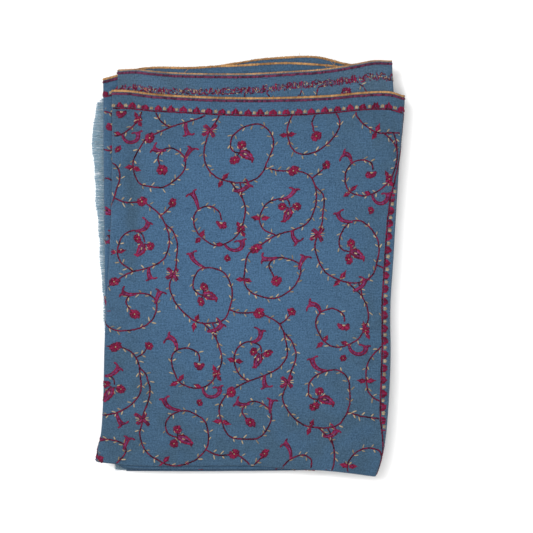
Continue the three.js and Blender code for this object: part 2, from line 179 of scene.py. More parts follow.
BACK_HEMS = [
    [(-120.5, 180.4), (-104, 181.2), (-88, 179.4), (-62, 177.6), (-30, 177), (2, 177.2), (39, 179.2),
     (66, 181), (85, 183.6), (103, 186.8), (117, 189.2), (132.5, 189)],
    [(-120.5, 180.4), (-60, 174), (30, 170), (130, 168)],
    [(130, 168), (30, 172), (-60, 172), (-132, 169)],
    [(-132, 169), (-40, 174), (60, 180), (130, 179)],
    [(130, 179), (0, 175), (-132, 160)],
    [(-132, 160), (0, 170), (130, 172)],
    [(130, 172), (0, 169), (-134, 152)],
]
FOOT_DROPS = [0, 1.2, 0.7, -1.2, -0.6, -1.4, 0]  # how far each leaf's foot line stays back, mm
foot_lines = [smooth_line(FACE_FOOT)] + [smooth_line(INNER_FOOT)] * 5 + [smooth_line(BASE_FOOT)]
front_hems = [smooth_line(rows) for rows in FRONT_HEMS]
back_hems = [smooth_line(rows) for rows in BACK_HEMS]
FOOT_LEVEL, HEM_LEVEL = -186, 168  # where a leaf's fold lines are read for its foot and its hem

# The folds in order along the cloth: number n joins leaf n to leaf n + 1, counted from the turned-under
# end, which is leaf 0. Each gives the middle of its turn for the front half and for the back half.
outer, inner = 3 * HALF, HALF
PARTING = (70, 160)  # between these, up the packet, the back half's fold leaves the front half's


def fold(rows, side, back_rows=None, shift=0.0):
    """A cross fold at the right, side 1, or the left, side -1, moved inwards by the shift."""
    line = smooth_line(rows)
    back_line = smooth_line(back_rows) if back_rows else None

    def centre(y, front):
        middle = line(y) - side * (outer + shift)
        if back_line is None:
            return middle
        own = back_line(y) - side * inner
        return mix(mix(middle, own, smoothstep(y, *PARTING)), middle, front)

    return {"side": side, "centre": centre}


folds = [
    fold(FACE_RIGHT, 1, BAND_RIGHT),
    fold(FACE_LEFT, -1, BAND_LEFT),
    fold(INNER_RIGHT, 1, shift=0.8),
    fold(STRIP_LEFT, -1),
    fold(INNER_RIGHT, 1, shift=-0.6),
    fold(STRIP_LEFT, -1, shift=0.7),
    fold(BASE_RIGHT, 1),
]
raw_end = smooth_line(RAW_END)


def leaf_ends(leaf, y, front):
    """Where a leaf's flat part begins and ends, along the way of the cloth."""
    if leaf == 0:
        right = folds[0]["centre"](y, front)
        return right - END_DEPTH, right
    start = folds[leaf - 1]["centre"](y, front)
    end = raw_end(y) if leaf == LEAVES else folds[leaf]["centre"](y, front)
    return start, end


def leaf_height(leaf):
    """The middle between a leaf's two layers. The turned-under end counts as the first leaf."""
    return (2 * (LEAVES - max(leaf, 1)) + 1) * PITCH - PITCH + LOWEST + HALF


def turn_lift(x, y):
    """How far the turned-under end lifts what lies on it."""
    from_fold = folds[0]["centre"](y, 1.0) + outer - x
    return TURN_UNDER * (1 - smoothstep(from_fold, TURN_DEPTH, TURN_DEPTH + TURN_SLOPE))


# Soft creases and swells of the packet: each a long bump or trough with its middle, its half lengths
# along and across, its turn from the X axis and its height on the face. The last four are the drooping
# corners.
SWELLS = [
    {"x": -104, "y": 74, "long": 95, "wide": 6.5, "turn": 91, "high": -3.0},
    {"x": -118, "y": 60, "long": 100, "wide": 7, "turn": 91, "high": 0.7},
    {"x": -88, "y": 90, "long": 70, "wide": 10, "turn": 88, "high": 0.9},
    {"x": 20, "y": -10, "long": 110, "wide": 70, "turn": 60, "high": 1.4},
    {"x": 97, "y": -132, "long": 46, "wide": 15, "turn": 112, "high": -2.4},
    {"x": 74, "y": -118, "long": 60, "wide": 20, "turn": 105, "high": 1.0},
    {"x": 118, "y": -30, "long": 26, "wide": 7, "turn": 80, "high": -0.9},
    {"x": 121, "y": -95, "long": 20, "wide": 8, "turn": 95, "high": 0.9},
    {"x": 124, "y": 60, "long": 34, "wide": 8, "turn": 100, "high": -0.8},
    {"x": -60, "y": -120, "long": 60, "wide": 16, "turn": 12, "high": 0.8},
    {"x": 40, "y": -158, "long": 75, "wide": 12, "turn": 176, "high": -0.9},
    {"x": -20, "y": 118, "long": 80, "wide": 14, "turn": 4, "high": -0.5},
    {"x": 30, "y": 142, "long": 60, "wide": 8, "turn": 3, "high": 0.6},
    {"x": -112, "y": -110, "long": 50, "wide": 12, "turn": 84, "high": 0.6},
    {"x": 62, "y": 52, "long": 45, "wide": 22, "turn": 40, "high": -0.7},
    {"x": -30, "y": 40, "long": 50, "wide": 20, "turn": 130, "high": -0.6},
    {"x": -146, "y": -198, "long": 30, "wide": 13, "turn": -50, "high": -3.2},
    {"x": 150, "y": 160, "long": 32, "wide": 11, "turn": -78, "high": -3.0},
    {"x": 118, "y": -200, "long": 34, "wide": 10, "turn": -8, "high": -2.6},
    {"x": 134, "y": 194, "long": 34, "wide": 11, "turn": 10, "high": -2.6},
]


def swell(x, y):
    total = 0.5 * np.sin(x / 47 + 0.6) * np.cos(y / 61 - 0.4)
    for crease in SWELLS:
        turn = math.radians(crease["turn"])
        dx, dy = x - crease["x"], y - crease["y"]
        along = (dx * math.cos(turn) + dy * math.sin(turn)) / crease["long"]
        across = (-dx * math.sin(turn) + dy * math.cos(turn)) / crease["wide"]
        total = total + crease["high"] * np.exp(-(along**2) * 1.5 - across**2)
    ripple = np.sin(x / 8.3 + np.sin(y / 23)) * np.sin(y / 11.7 + np.sin(x / 31 + 1))
    return total + 0.07 * ripple


def settled(x, y, z):
    """The packet's own waves: the higher a point lies, the more it follows them."""
    top = leaf_height(1) + HALF
    return np.stack([x, y, z * (1 + swell(x, y) / top * np.clip(z / top, 0, 1))], axis=-1) * MM


def leaf_point(leaf, x, share, off, front, foot_in):
    """A point of a leaf's flat part: off is its height from the leaf's middle, towards the front half,
    share runs from foot to hem and foot_in is how far inside the foot line it lies."""
    n = max(leaf, 1) - 1
    hem = mix(back_hems[n](x), front_hems[n](x), front)
    y = mix(foot_lines[n](x) + FOOT_DROPS[n] + foot_in, hem, share)
    up = off if leaf % 2 else -off
    z = leaf_height(leaf) + up + (turn_lift(x, y) if leaf == 1 else 0)
    return settled(x, y, z)


def fold_point(number, angle, share, off, front, foot_in):
    """A point of a cross fold: the angle runs from its upper leaf, 0, to its lower leaf, pi."""
    upper = 1 if number == 0 else number
    lower = 1 if number == 0 else number + 1
    side = folds[number]["side"]
    centre = folds[number]["centre"](mix(FOOT_LEVEL, HEM_LEVEL, share), front)
    turned = angle / math.pi
    ys = []
    for n in (upper - 1, lower - 1):
        hem = mix(back_hems[n](centre), front_hems[n](centre), front)
        ys.append(mix(foot_lines[n](centre) + FOOT_DROPS[n] + foot_in, hem, share))
    y = mix(ys[0], ys[1], turned)
    front_outside = number == 0 or number % 2 == 1
    radius = PITCH + (off if front_outside else -off)
    high = leaf_height(0) + TURN_UNDER if number == 0 else leaf_height(upper)
    low = leaf_height(0) if number == 0 else leaf_height(lower)
    x = centre + side * radius * np.sin(angle)
    z = (high + low) / 2 + radius * np.cos(angle)
    return settled(x, y, z)


def stations(count, dense_ends=0.0):
    """Shares from 0 to 1, drawn towards both ends."""
    t = np.linspace(0, 1, count)
    return mix(t, (1 - np.cos(math.pi * t)) / 2, dense_ends)


def width_rows(front_count, back_shares, turn_steps=6):
    """The rows across the width: from the front hem, round the foot and up to the back hem."""
    rows = [(share, HALF, 1.0, HALF) for share in 1 - stations(front_count, 0.4)]
    for k in range(1, turn_steps):
        angle = math.pi * k / turn_steps
        level = math.cos(angle)
        rows.append((0.0, HALF * level, (1 + level) / 2, HALF * (1 - math.sin(angle))))
    rows += [(share, -HALF, 0.0, HALF) for share in back_shares]
    return np.array(rows).T


def sheet_grid(parts, rows):
    """The points of a stretch of the cloth: columns for places along it, rows for places across it."""
    share, off, front, foot_in = rows
    columns = []
    for kind, number, place in parts:
        if kind == "leaf":
            start, end = leaf_ends(number, mix(FOOT_LEVEL, HEM_LEVEL, share), front)
            columns.append(leaf_point(number, mix(start, end, place), share, off, front, foot_in))
        else:
            columns.append(fold_point(number, place, share, off, front, foot_in))
    return np.array(columns)


def leaf_columns(number, count, start=0.0, stop=1.0, dense_ends=0.5):
    return [("leaf", number, mix(start, stop, t)) for t in stations(count, dense_ends)]


def fold_columns(number, steps=8):
    """The places round a fold, in the way of the cloth and without its two ends."""
    angles = [math.pi * k / steps for k in range(1, steps)]
    return [("fold", number, angle) for angle in (angles[::-1] if number == 0 else angles)]


def arc_lengths(points, axis):
    steps = np.linalg.norm(np.diff(points, axis=axis), axis=2).mean(axis=1 - axis)
    return np.concatenate([[0], np.cumsum(steps)])


def mesh_object(name, points, faces, weave=None, **shares):
    """A smooth mesh, with its place in the weave and any shares kept on its points by name."""
    mesh = bpy.data.meshes.new(name)
    mesh.from_pydata(points.reshape(-1, 3).tolist(), [], faces)
    mesh.polygons.foreach_set("use_smooth", [True] * len(mesh.polygons))
    if weave is not None:
        layer = mesh.attributes.new("weave_place", "FLOAT_VECTOR", "POINT")
        layer.data.foreach_set("vector", weave.reshape(-1))
    for share_name, values in shares.items():
        layer = mesh.attributes.new(share_name, "FLOAT", "POINT")
        layer.data.foreach_set("value", values.reshape(-1))
    piece = bpy.data.objects.new(name, mesh)
    bpy.context.collection.objects.link(piece)
    return piece


def grid_faces(columns, rows):
    i, j = np.meshgrid(np.arange(columns - 1), np.arange(rows - 1), indexing="ij")
    a = (i * rows + j).ravel()
    return np.stack([a, a + 1, a + rows + 1, a + rows], axis=1).tolist()


UNSHADED_CENTRE = (-7, 18)  # the middle of the face, from where painted shade darkens the cloth towards its edges
SHADE_REACH = (175, 215)  # about how far from there the painted shade reaches its full depth, in x and in y
# Painted shade in the trough of the crease near the face's left side: where it runs, how wide it is, over
# which y it fades in, and how deep it is.
CREASE_SHADE = {"x": -106, "wide": 7, "from": -50, "to": 60, "share": 0.7}


def wear(x, y):
    """How much painted shade darkens and dulls the cloth: more towards the packet's edges, where the light
    falls off, and along the trough of a crease.
    """
    away = np.hypot((x - UNSHADED_CENTRE[0]) / SHADE_REACH[0], (y - UNSHADED_CENTRE[1]) / SHADE_REACH[1])
    crease = np.exp(-(((x - CREASE_SHADE["x"]) / CREASE_SHADE["wide"]) ** 2))
    crease = crease * smoothstep(y, CREASE_SHADE["from"], CREASE_SHADE["to"]) * CREASE_SHADE["share"]
    return np.clip(smoothstep(away, 0.3, 1.05) + crease, 0, 1)


def cloth_sheet(name, parts, rows, weave_start, shade_scale=1.0):
    """One stretch of the cloth as a thin shell, with its place in the weave kept on every point."""
    points = sheet_grid(parts, rows)
    columns, count = points.shape[:2]
    along = arc_lengths(points, 0) + weave_start
    across = arc_lengths(points, 1)
    weave = np.zeros((columns, count, 3))
    weave[..., 0], weave[..., 1] = along[:, None], across[None, :]
    x, y = points[..., 0] / MM, points[..., 1] / MM
    inside_up = np.array([rows[2] if number % 2 == 0 else 1 - rows[2] for _, number, _ in parts])
    # Painted shade towards the packet's edges and in the crease, kept on the points for the wool's colour.
    piece = mesh_object(name, points, grid_faces(columns, count), weave, wear=wear(x, y) * shade_scale,
                        wrong_side=inside_up * (0.15 + 0.85 * smoothstep(np.abs(x), 30, 115)))
    shell = piece.modifiers.new("thickness", "SOLIDIFY")
    shell.thickness = CLOTH * MM
    shell.offset = 0
    return piece, along[-1]


def socket_group(name, inputs, outputs):
    """An empty node group with its input and output nodes."""
    group = bpy.data.node_groups.new(name, "ShaderNodeTree")
    for socket, kind, value in inputs:
        made = group.interface.new_socket(socket, in_out="INPUT", socket_type=kind)
        if value is not None:
            made.default_value = value
    for socket, kind in outputs:
        group.interface.new_socket(socket, in_out="OUTPUT", socket_type=kind)
    return group, group.nodes.new("NodeGroupInput"), group.nodes.new("NodeGroupOutput")


def node(tree, kind, links=None, **settings):
    """A node with its settings, and its inputs set to numbers or linked to other nodes' sockets."""
    made = tree.nodes.new(kind)
    for key, value in settings.items():
        setattr(made, key, value)
    for key, value in (links or {}).items():
        if isinstance(value, bpy.types.NodeSocket):
            tree.links.new(value, made.inputs[key])
        else:
            made.inputs[key].default_value = value
    return made


def maths(tree, operation, *values, **settings):
    """The result of a sum on numbers and other nodes' sockets."""
    made = node(tree, "ShaderNodeMath", dict(enumerate(values)), operation=operation, **settings)
    return made.outputs[0]


def noise(tree, place, scale, detail, roughness=0.5):
    """The value of a noise at a place."""
    return node(tree, "ShaderNodeTexNoise", {"Vector": place, "Scale": scale, "Detail": detail,
                                             "Roughness": roughness}).outputs["Fac"]


# Fine plain-woven wool: a thread's width apart both ways, with slubs along the weft and warp, and a
# melange of paler and darker fibres.
WAVE_SCALE = 0.314  # gives the wave texture one wave for each thread
SLUB_STRETCH = [(90, 900, 1), (1100, 120, 1)]
weave_group, weave_in, weave_out = socket_group(
    "wool_weave",
    [("Place", "NodeSocketVector", None), ("Thread", "NodeSocketFloat", 0.00055),
     ("Dark", "NodeSocketColor", (0, 0, 0, 1)), ("Light", "NodeSocketColor", (1, 1, 1, 1)),
     ("Melange", "NodeSocketFloat", 0.5)],
    [("Color", "NodeSocketColor"), ("Height", "NodeSocketFloat")],
)


def build_weave(tree, source, sink):
    place = source.outputs["Place"]
    per_thread = maths(tree, "DIVIDE", 1.0, source.outputs["Thread"])
    scaled = node(tree, "ShaderNodeVectorMath", {0: place, "Scale": per_thread}, operation="SCALE")
    threads = [
        node(tree, "ShaderNodeTexWave",
             {"Vector": scaled.outputs[0], "Scale": WAVE_SCALE, "Distortion": 1.2, "Detail": 1.0},
             bands_direction=way, wave_profile="SIN").outputs["Fac"]
        for way in "XY"
    ]
    cross = maths(tree, "MAXIMUM", *threads)
    slubs = []
    for stretch in SLUB_STRETCH:
        stretched = node(tree, "ShaderNodeVectorMath", {0: place, 1: stretch}, operation="MULTIPLY")
        slubs.append(noise(tree, stretched.outputs[0], 1.0, 3.0, 0.65))
    patch = noise(tree, place, 32.0, 3.0, 0.6)
    grain = noise(tree, place, 720.0, 2.0, 0.55)
    both = maths(tree, "MULTIPLY_ADD", maths(tree, "ADD", *slubs), 0.45, grain)
    mottle = maths(tree, "MULTIPLY_ADD", patch, 0.14, both)
    spread = node(tree, "ShaderNodeMapRange", {"Value": mottle, "From Min": 0.77, "From Max": 1.27})
    soft = node(tree, "ShaderNodeMix", {"Factor": source.outputs["Melange"], "A": 0.5,
                                        "B": spread.outputs["Result"]}, data_type="FLOAT")
    tone = maths(tree, "MULTIPLY_ADD", cross, 0.3, soft.outputs["Result"])
    colour = node(tree, "ShaderNodeMix", data_type="RGBA")
    tree.links.new(maths(tree, "SUBTRACT", tone, 0.22, use_clamp=True), colour.inputs["Factor"])
    tree.links.new(source.outputs["Dark"], colour.inputs[6])
    tree.links.new(source.outputs["Light"], colour.inputs[7])
    tree.links.new(colour.outputs[2], sink.inputs["Color"])
    tree.links.new(maths(tree, "MULTIPLY_ADD", both, 0.5, cross), sink.inputs["Height"])


build_weave(weave_group, weave_in, weave_out)


def wool_material(name, dark, light, melange, sheen):
    """The woven wool, with painted shade that darkens and dulls it towards the packet's edges and in a
    crease, and paler and a little redder on its wrong side.
    """
    finish = bpy.data.materials.new(name)
    finish.use_nodes = True
    tree = finish.node_tree
    shader = tree.nodes["Principled BSDF"]
    place = node(tree, "ShaderNodeAttribute", attribute_name="weave_place").outputs["Vector"]
    weave = node(tree, "ShaderNodeGroup", node_tree=weave_group)
    tree.links.new(place, weave.inputs["Place"])
    weave.inputs["Dark"].default_value = (*dark, 1)
    weave.inputs["Light"].default_value = (*light, 1)
    weave.inputs["Melange"].default_value = melange
    bump = node(tree, "ShaderNodeBump", {"Strength": 0.28, "Distance": 0.0003,
                                         "Height": weave.outputs["Height"]})
    # Painted shade: a darker, duller tint, broken up by blotches, laid on towards the packet's edges and
    # in the crease.
    wear_share = node(tree, "ShaderNodeAttribute", attribute_name="wear").outputs["Fac"]
    shade_blotches = node(tree, "ShaderNodeMapRange", {"Value": noise(tree, place, 42.0, 2.0), "From Min": 0.36,
                                                 "From Max": 0.64, "To Min": 0.55, "To Max": 1.35})
    shaded_share = maths(tree, "MULTIPLY", wear_share, shade_blotches.outputs["Result"], use_clamp=True)
    shaded_tone = node(tree, "ShaderNodeMix", {"Factor": shaded_share, 7: (0.925, 0.845, 0.76, 1)},
                  data_type="RGBA", blend_type="MULTIPLY")
    tree.links.new(weave.outputs["Color"], shaded_tone.inputs[6])
    wrong_side = node(tree, "ShaderNodeAttribute", attribute_name="wrong_side").outputs["Fac"]
    reverse = node(tree, "ShaderNodeMix", {"Factor": wrong_side, 7: (1.34, 1.15, 1.07, 1)},
                   data_type="RGBA", blend_type="MULTIPLY")
    tree.links.new(shaded_tone.outputs[2], reverse.inputs[6])
    tree.links.new(reverse.outputs[2], shader.inputs["Base Color"])
    tree.links.new(bump.outputs["Normal"], shader.inputs["Normal"])
    shader.inputs["Roughness"].default_value = 0.92
    shader.inputs["Specular IOR Level"].default_value = 0.2
    shader.inputs["Sheen Weight"].default_value = sheen
    shader.inputs["Sheen Roughness"].default_value = 0.5
    shader.inputs["Sheen Tint"].default_value = (0.6, 0.75, 0.9, 1)
    return finish


blue_wool = wool_material("blue_wool", (0.0117, 0.0352, 0.072), (0.0482, 0.1074, 0.188), melange=0.85,
                          sheen=0.14)

FACE_COLUMNS = 124
FACE_ROWS = 150
INNER_COLUMNS = 34
INNER_ROWS = 22
INNER_SHADE = 0.5  # how much of the face's painted shade the hidden leaves have
BACK_BAND = np.concatenate([np.linspace(0, 0.88, 14)[:-1], np.linspace(0.88, 1, 20)])
INNER_BACK = stations(INNER_ROWS, 0.6)
INTO_SECOND = 0.06  # how much of the second leaf is made with the first

first_parts = leaf_columns(0, 8) + fold_columns(0) + leaf_columns(1, FACE_COLUMNS, dense_ends=0.15)
first_parts += fold_columns(1) + leaf_columns(2, 4, 0, INTO_SECOND, 0)
first_leaf, woven = cloth_sheet("stole_first_leaf", first_parts, width_rows(FACE_ROWS, BACK_BAND), 0.0)
inner_parts = leaf_columns(2, INNER_COLUMNS, INTO_SECOND, 1)
for leaf_number in range(3, LEAVES + 1):
    inner_parts += fold_columns(leaf_number - 1) + leaf_columns(leaf_number, INNER_COLUMNS)
inner_leaves, _ = cloth_sheet("stole_inner_leaves", inner_parts, width_rows(INNER_ROWS, INNER_BACK),
                              woven, INNER_SHADE)
for piece in (first_leaf, inner_leaves):
    piece.data.materials.append(blue_wool)
    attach(piece, "root")
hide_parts("top_panel", "under_panel")
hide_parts("third_panel", "fourth_panel", "side_strip", "folded_core", "base_panel")

# ---- The hems' overcast edges ----
# Each long edge is rolled and whipped over with ochre silk, close and slanting, and a line of purple stem
# stitch runs just inside it on the right side of the cloth.
STRAND_SIDES = 6
STRAND_RINGS = (0.24, 0.76)  # where along a stitch it is at its thickest
STRAND_RISE = 0.22  # of its height, how far its middle stands above the cloth
STRAND_DIP = 0.12  # of its height, how far its ends go into the cloth


def spindles(name, starts, ends, normals, widths, heights, shades):
    """Stitches as one mesh: each a plump strand that dips into the cloth at both ends. All in mm."""
    starts, ends, normals = (np.asarray(v, float) for v in (starts, ends, normals))
    widths, heights = np.asarray(widths, float), np.asarray(heights, float)
    count = len(starts)
    along = ends - starts
    length = np.linalg.norm(along, axis=1, keepdims=True)
    along = along / np.maximum(length, 1e-6)
    across = np.cross(normals, along)
    across /= np.maximum(np.linalg.norm(across, axis=1, keepdims=True), 1e-6)
    up = np.cross(along, across)
    sides = STRAND_SIDES
    points = np.empty((count, 2 + 2 * sides, 3))
    dip = up * (heights[:, None] * STRAND_DIP)
    points[:, 0], points[:, 1] = starts - dip, ends - dip
    for ring, place in enumerate(STRAND_RINGS):
        middle = starts + along * length * place + up * (heights[:, None] * STRAND_RISE)
        for k in range(sides):
            turn = 2 * math.pi * k / sides
            offset = across * (widths[:, None] / 2 * math.cos(turn))
            offset = offset + up * (heights[:, None] / 2 * math.sin(turn))
            points[:, 2 + ring * sides + k] = middle + offset
    base = np.arange(count)[:, None] * (2 + 2 * sides)
    tips, quads = [], []
    for k in range(sides):
        a, b = 2 + k, 2 + (k + 1) % sides
        tips.append(np.concatenate([base, base + b, base + a], axis=1))
        tips.append(np.concatenate([base + 1, base + a + sides, base + b + sides], axis=1))
        quads.append(np.concatenate([base + a, base + b, base + b + sides, base + a + sides], axis=1))
    faces = np.concatenate(tips).tolist() + np.concatenate(quads).tolist()
    return mesh_object(name, points * MM, faces, strand_shade=np.repeat(shades, 2 + 2 * sides))


def thread_material(name, dark, light, roughness=0.65):
    """Twisted silk or wool thread: each stitch has its own shade, and fine fibres run over it."""
    finish = bpy.data.materials.new(name)
    finish.use_nodes = True
    tree = finish.node_tree
    shader = tree.nodes["Principled BSDF"]
    shade = node(tree, "ShaderNodeAttribute", attribute_name="strand_shade").outputs["Fac"]
    fibre = noise(tree, node(tree, "ShaderNodeTexCoord").outputs["Object"], 2600.0, 2.0)
    tone = maths(tree, "MULTIPLY_ADD", fibre, 0.6, shade)
    colour = node(tree, "ShaderNodeMix", {6: (*dark, 1), 7: (*light, 1)}, data_type="RGBA")
    tree.links.new(maths(tree, "SUBTRACT", tone, 0.3, use_clamp=True), colour.inputs["Factor"])
    bump = node(tree, "ShaderNodeBump", {"Strength": 0.3, "Distance": 0.0002, "Height": fibre})
    tree.links.new(colour.outputs[2], shader.inputs["Base Color"])
    tree.links.new(bump.outputs["Normal"], shader.inputs["Normal"])
    shader.inputs["Roughness"].default_value = roughness
    shader.inputs["Specular IOR Level"].default_value = 0.07
    shader.inputs["Sheen Weight"].default_value = 0.02
    return finish


ochre_silk = thread_material("ochre_silk", (0.18, 0.09, 0.034), (0.42, 0.238, 0.1))
purple_silk = thread_material("purple_silk", (0.026, 0.007, 0.018), (0.112, 0.023, 0.057))

STRIP_EDGE = -112  # the third leaf shows its purple line only left of here
HEM_PLACES = 90
EDGE_INSET = 0.35  # from the cloth's edge to the middle of an overcast stitch
EDGE_WIDTH = 2.5
EDGE_SLANT = 0.45
BAND_EDGE_SHARE = 0.8  # how long the band's overcast stitches are beside the face's
FACE_EDGE = {"step": 1.05, "width": 1.3}
LOWER_EDGE = {"step": 1.5, "width": 1.75}
EDGE_HEIGHT, FLAT_EDGE_HEIGHT = 1.25, 0.7  # the second for the lowest leaf, which lies on the floor
PURPLE_INSET = 2.95
PURPLE = {"step": 1.5, "reach": 1.25, "slant": 0.75, "width": 2.1, "height": 0.85}
edge_rng = np.random.default_rng(11)


def hem_columns(leaf):
    """The places along one leaf's hem, with half of the fold before it and half of the fold after it."""
    upper_at_start = leaf == 1
    before = [c for c in fold_columns(leaf - 1) if (c[2] < math.pi / 2) == upper_at_start]
    after = [c for c in fold_columns(leaf) if c[2] <= math.pi / 2] if leaf < LEAVES else []
    return before + leaf_columns(leaf, HEM_PLACES, dense_ends=0.3) + after


def hem_frames(leaf, front, inset, step):
    """Evenly spaced places along a hem, in mm, with the ways along it, into the cloth and off it."""
    row = np.array([[1.0], [HALF if front else -HALF], [float(front)], [HALF]])
    deeper = row.copy()
    deeper[0] = 0.98
    parts = hem_columns(leaf)
    edge = sheet_grid(parts, row)[:, 0] / MM
    within = sheet_grid(parts, deeper)[:, 0] / MM
    steps = np.linalg.norm(np.diff(edge, axis=0), axis=1)
    travelled = np.concatenate([[0], np.cumsum(steps)])
    places = np.arange(step / 2, travelled[-1], step)

    def spaced(values):
        return np.stack([np.interp(places, travelled, values[:, k]) for k in range(3)], axis=1)

    at, inwards = spaced(edge), spaced(within - edge)
    inwards /= np.linalg.norm(inwards, axis=1, keepdims=True)
    along = np.gradient(at, axis=0)
    along /= np.linalg.norm(along, axis=1, keepdims=True)
    normal = np.cross(along, inwards) * (1 if front else -1)
    return at + inwards * inset, along, inwards, normal


edge_sets = {"ochre": [[] for _ in range(6)], "purple": [[] for _ in range(6)]}


def keep(store, starts, ends, normals, widths, heights, shades):
    """Adds stitches to a store of six lists. What is the same for all of them may be one number."""
    for held, values in zip(store, (starts, ends, normals, widths, heights, shades)):
        held.append(np.broadcast_to(values, (len(starts), *np.shape(starts)[1:]))
                    if np.ndim(values) == 2 else np.broadcast_to(values, len(starts)))


for leaf_number in range(1, LEAVES + 1):
    for front in (True, False):
        shown = leaf_number == 1
        size = FACE_EDGE if shown else LOWER_EDGE
        at, along, inwards, normal = hem_frames(leaf_number, front, EDGE_INSET, size["step"])
        count = len(at)
        if leaf_number == 4 and front:
            normal = -normal  # this hem shows from its wrong side
        reach = EDGE_WIDTH / 2 * (BAND_EDGE_SHARE if shown and not front else 1)
        reach = reach + edge_rng.normal(0, 0.13, (count, 1))
        slant = along * EDGE_SLANT
        patches = 0.2 * np.sin(at[:, :1] / 9.7 + leaf_number) + 0.14 * np.sin(at[:, :1] / 3.9)
        keep(edge_sets["ochre"], at - inwards * reach - slant, at + inwards * reach + slant, normal,
             size["width"] + edge_rng.normal(0, 0.06, count),
             FLAT_EDGE_HEIGHT if leaf_number == LEAVES else EDGE_HEIGHT,
             edge_rng.uniform(0.15, 0.75, count) + patches[:, 0])
        if leaf_number in (1, 3):
            at, along, inwards, normal = hem_frames(leaf_number, front, PURPLE_INSET, PURPLE["step"])
            if leaf_number == 3:
                beside = at[:, 0] < STRIP_EDGE
                at, along, inwards, normal = at[beside], along[beside], inwards[beside], normal[beside]
            count = len(at)
            way = normal if front else -normal
            drift = inwards * edge_rng.normal(0, 0.12, (count, 1))
            lifted = at + way * (CLOTH / 2) + drift
            lean = along * PURPLE["reach"] + inwards * PURPLE["slant"]
            keep(edge_sets["purple"], lifted - lean, lifted + lean, way, PURPLE["width"],
                 PURPLE["height"], edge_rng.uniform(0, 1, count))


def stitched(name, store, finish):
    """A store's stitches as one piece."""
    starts, ends, normals, widths, heights, shades = (np.concatenate(held) for held in store)
    piece = spindles(name, starts, ends, normals, widths, heights, shades)
    piece.data.materials.append(finish)
    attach(piece, "root")
    return piece


# Loose thread ends that stand off the hems: the leaf, whether it is its front half, and how many.
LOOSE_ENDS = [(1, True, 1), (1, False, 2), (3, True, 2), (4, True, 1)]
for leaf_number, front, count in LOOSE_ENDS:
    at, along, inwards, normal = hem_frames(leaf_number, front, EDGE_INSET, FACE_EDGE["step"])
    for k in edge_rng.integers(8, len(at) - 8, count):
        root = at[k] - inwards[k] * 0.8
        way = -inwards[k] + along[k] * edge_rng.uniform(-1.1, 1.1)
        for _ in range(3):
            tip = root + way * edge_rng.uniform(1.0, 1.7)
            keep(edge_sets["ochre"], root[None], tip[None], normal[k][None], 0.42, 0.42, 0.6)
            root, way = tip - way * 0.15, way + along[k] * edge_rng.normal(0, 0.5)

edge_ochre = stitched("hem_overcast_ochre", edge_sets["ochre"], ochre_silk)
edge_purple = stitched("hem_line_purple", edge_sets["purple"], purple_silk)
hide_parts("edging_top_panel", "edging_under_panel", "edging_third_panel",
            "edging_fourth_panel", "edging_side_strip")

# ---- The embroidery's motifs ----
# Hand embroidery in wool and silk: buds, flowers, horns and leaflets, each from a few plump satin
# stitches. A stitch is (thread, x0, y0, x1, y1, width, height) in mm, and a motif points along +x.
hand = np.random.default_rng(23)


def turned(x, y, degrees):
    turn = math.radians(degrees)
    return x * math.cos(turn) - y * math.sin(turn), x * math.sin(turn) + y * math.cos(turn)


def ray(thread, degrees, start, stop, width, height=0.8):
    """A stitch that runs outwards from a motif's own middle."""
    return (thread, *turned(start, 0, degrees), *turned(stop, 0, degrees), width, height)


def moved(motif, x, y, turn=0.0, scale=1.0, flip=1):
    """A motif set at a place, turned and scaled, and mirrored where flip is -1."""
    placed = []
    for thread, x0, y0, x1, y1, width, height in motif:
        (ax, ay), (bx, by) = turned(x0, y0 * flip, turn), turned(x1, y1 * flip, turn)
        placed.append((thread, x + ax * scale, y + ay * scale, x + bx * scale, y + by * scale,
                       width * scale, height))
    return placed


def flower(size, petals=9, sweep=360.0):
    """Pointed crimson petals with magenta down their middles, darker gaps between and a cream heart."""
    motif = []
    oval = hand.uniform(0, 180)
    for k in range(petals):
        middle = sweep * ((k + 0.5) / petals - 0.5) + hand.normal(0, 4)
        reach = size / 2 * (1 + 0.1 * math.cos(math.radians(2 * (middle - oval))))
        reach *= hand.uniform(0.9, 1.1)
        for lean in (-7, 7):
            motif.append(ray("crimson", middle + lean, size * 0.02, reach, size * 0.15, 0.95))
        gap = middle + sweep / petals / 2
        motif.append(ray("maroon", gap, size * 0.22, reach * 0.84, size * 0.14, 0.7))
        motif.append(ray("magenta", middle, size * 0.22, reach * 0.76, size * 0.07, 1.25))
    first = hand.uniform(0, 90)
    for turn in (first, first + 90):
        motif.append(("cream", *turned(-size * 0.08, 0, turn), *turned(size * 0.08, 0, turn),
                      size * 0.11, 1.5))
    return motif


def bud(length=6.4):
    """Crimson stitches that fan out from the stalk, barbed at their widest, and close to a point."""
    motif = []
    for side in (-1, 1):
        wide = side * length * 0.2
        motif.append(("crimson", 0.2, wide * 0.25, length * 0.48, wide, 1.5, 0.8))
        motif.append(("crimson", length * 0.38, wide, length * 0.9, wide * 0.25, 1.4, 0.8))
        motif.append(("crimson", 0.4, wide * 0.1, length * 0.74, wide * 0.4, 1.3, 0.9))
        motif.append(("maroon", length * 0.36, wide * 0.9, length * 0.6, wide * 1.75, 0.8, 0.7))
    motif.append(("crimson", length * 0.6, 0, length * hand.uniform(1.04, 1.2), 0, 1.0, 0.9))
    motif.append(("magenta", length * 0.25, 0, length * 0.6, 0, 0.8, 1.15))
    return motif


def bud_pair():
    """A bud to each side of the vine."""
    return (moved(bud(hand.uniform(6.8, 8.0)), 0, 0.2, hand.uniform(60, 92))
            + moved(bud(hand.uniform(6.6, 7.8)), 0, -0.2, -hand.uniform(72, 110)))


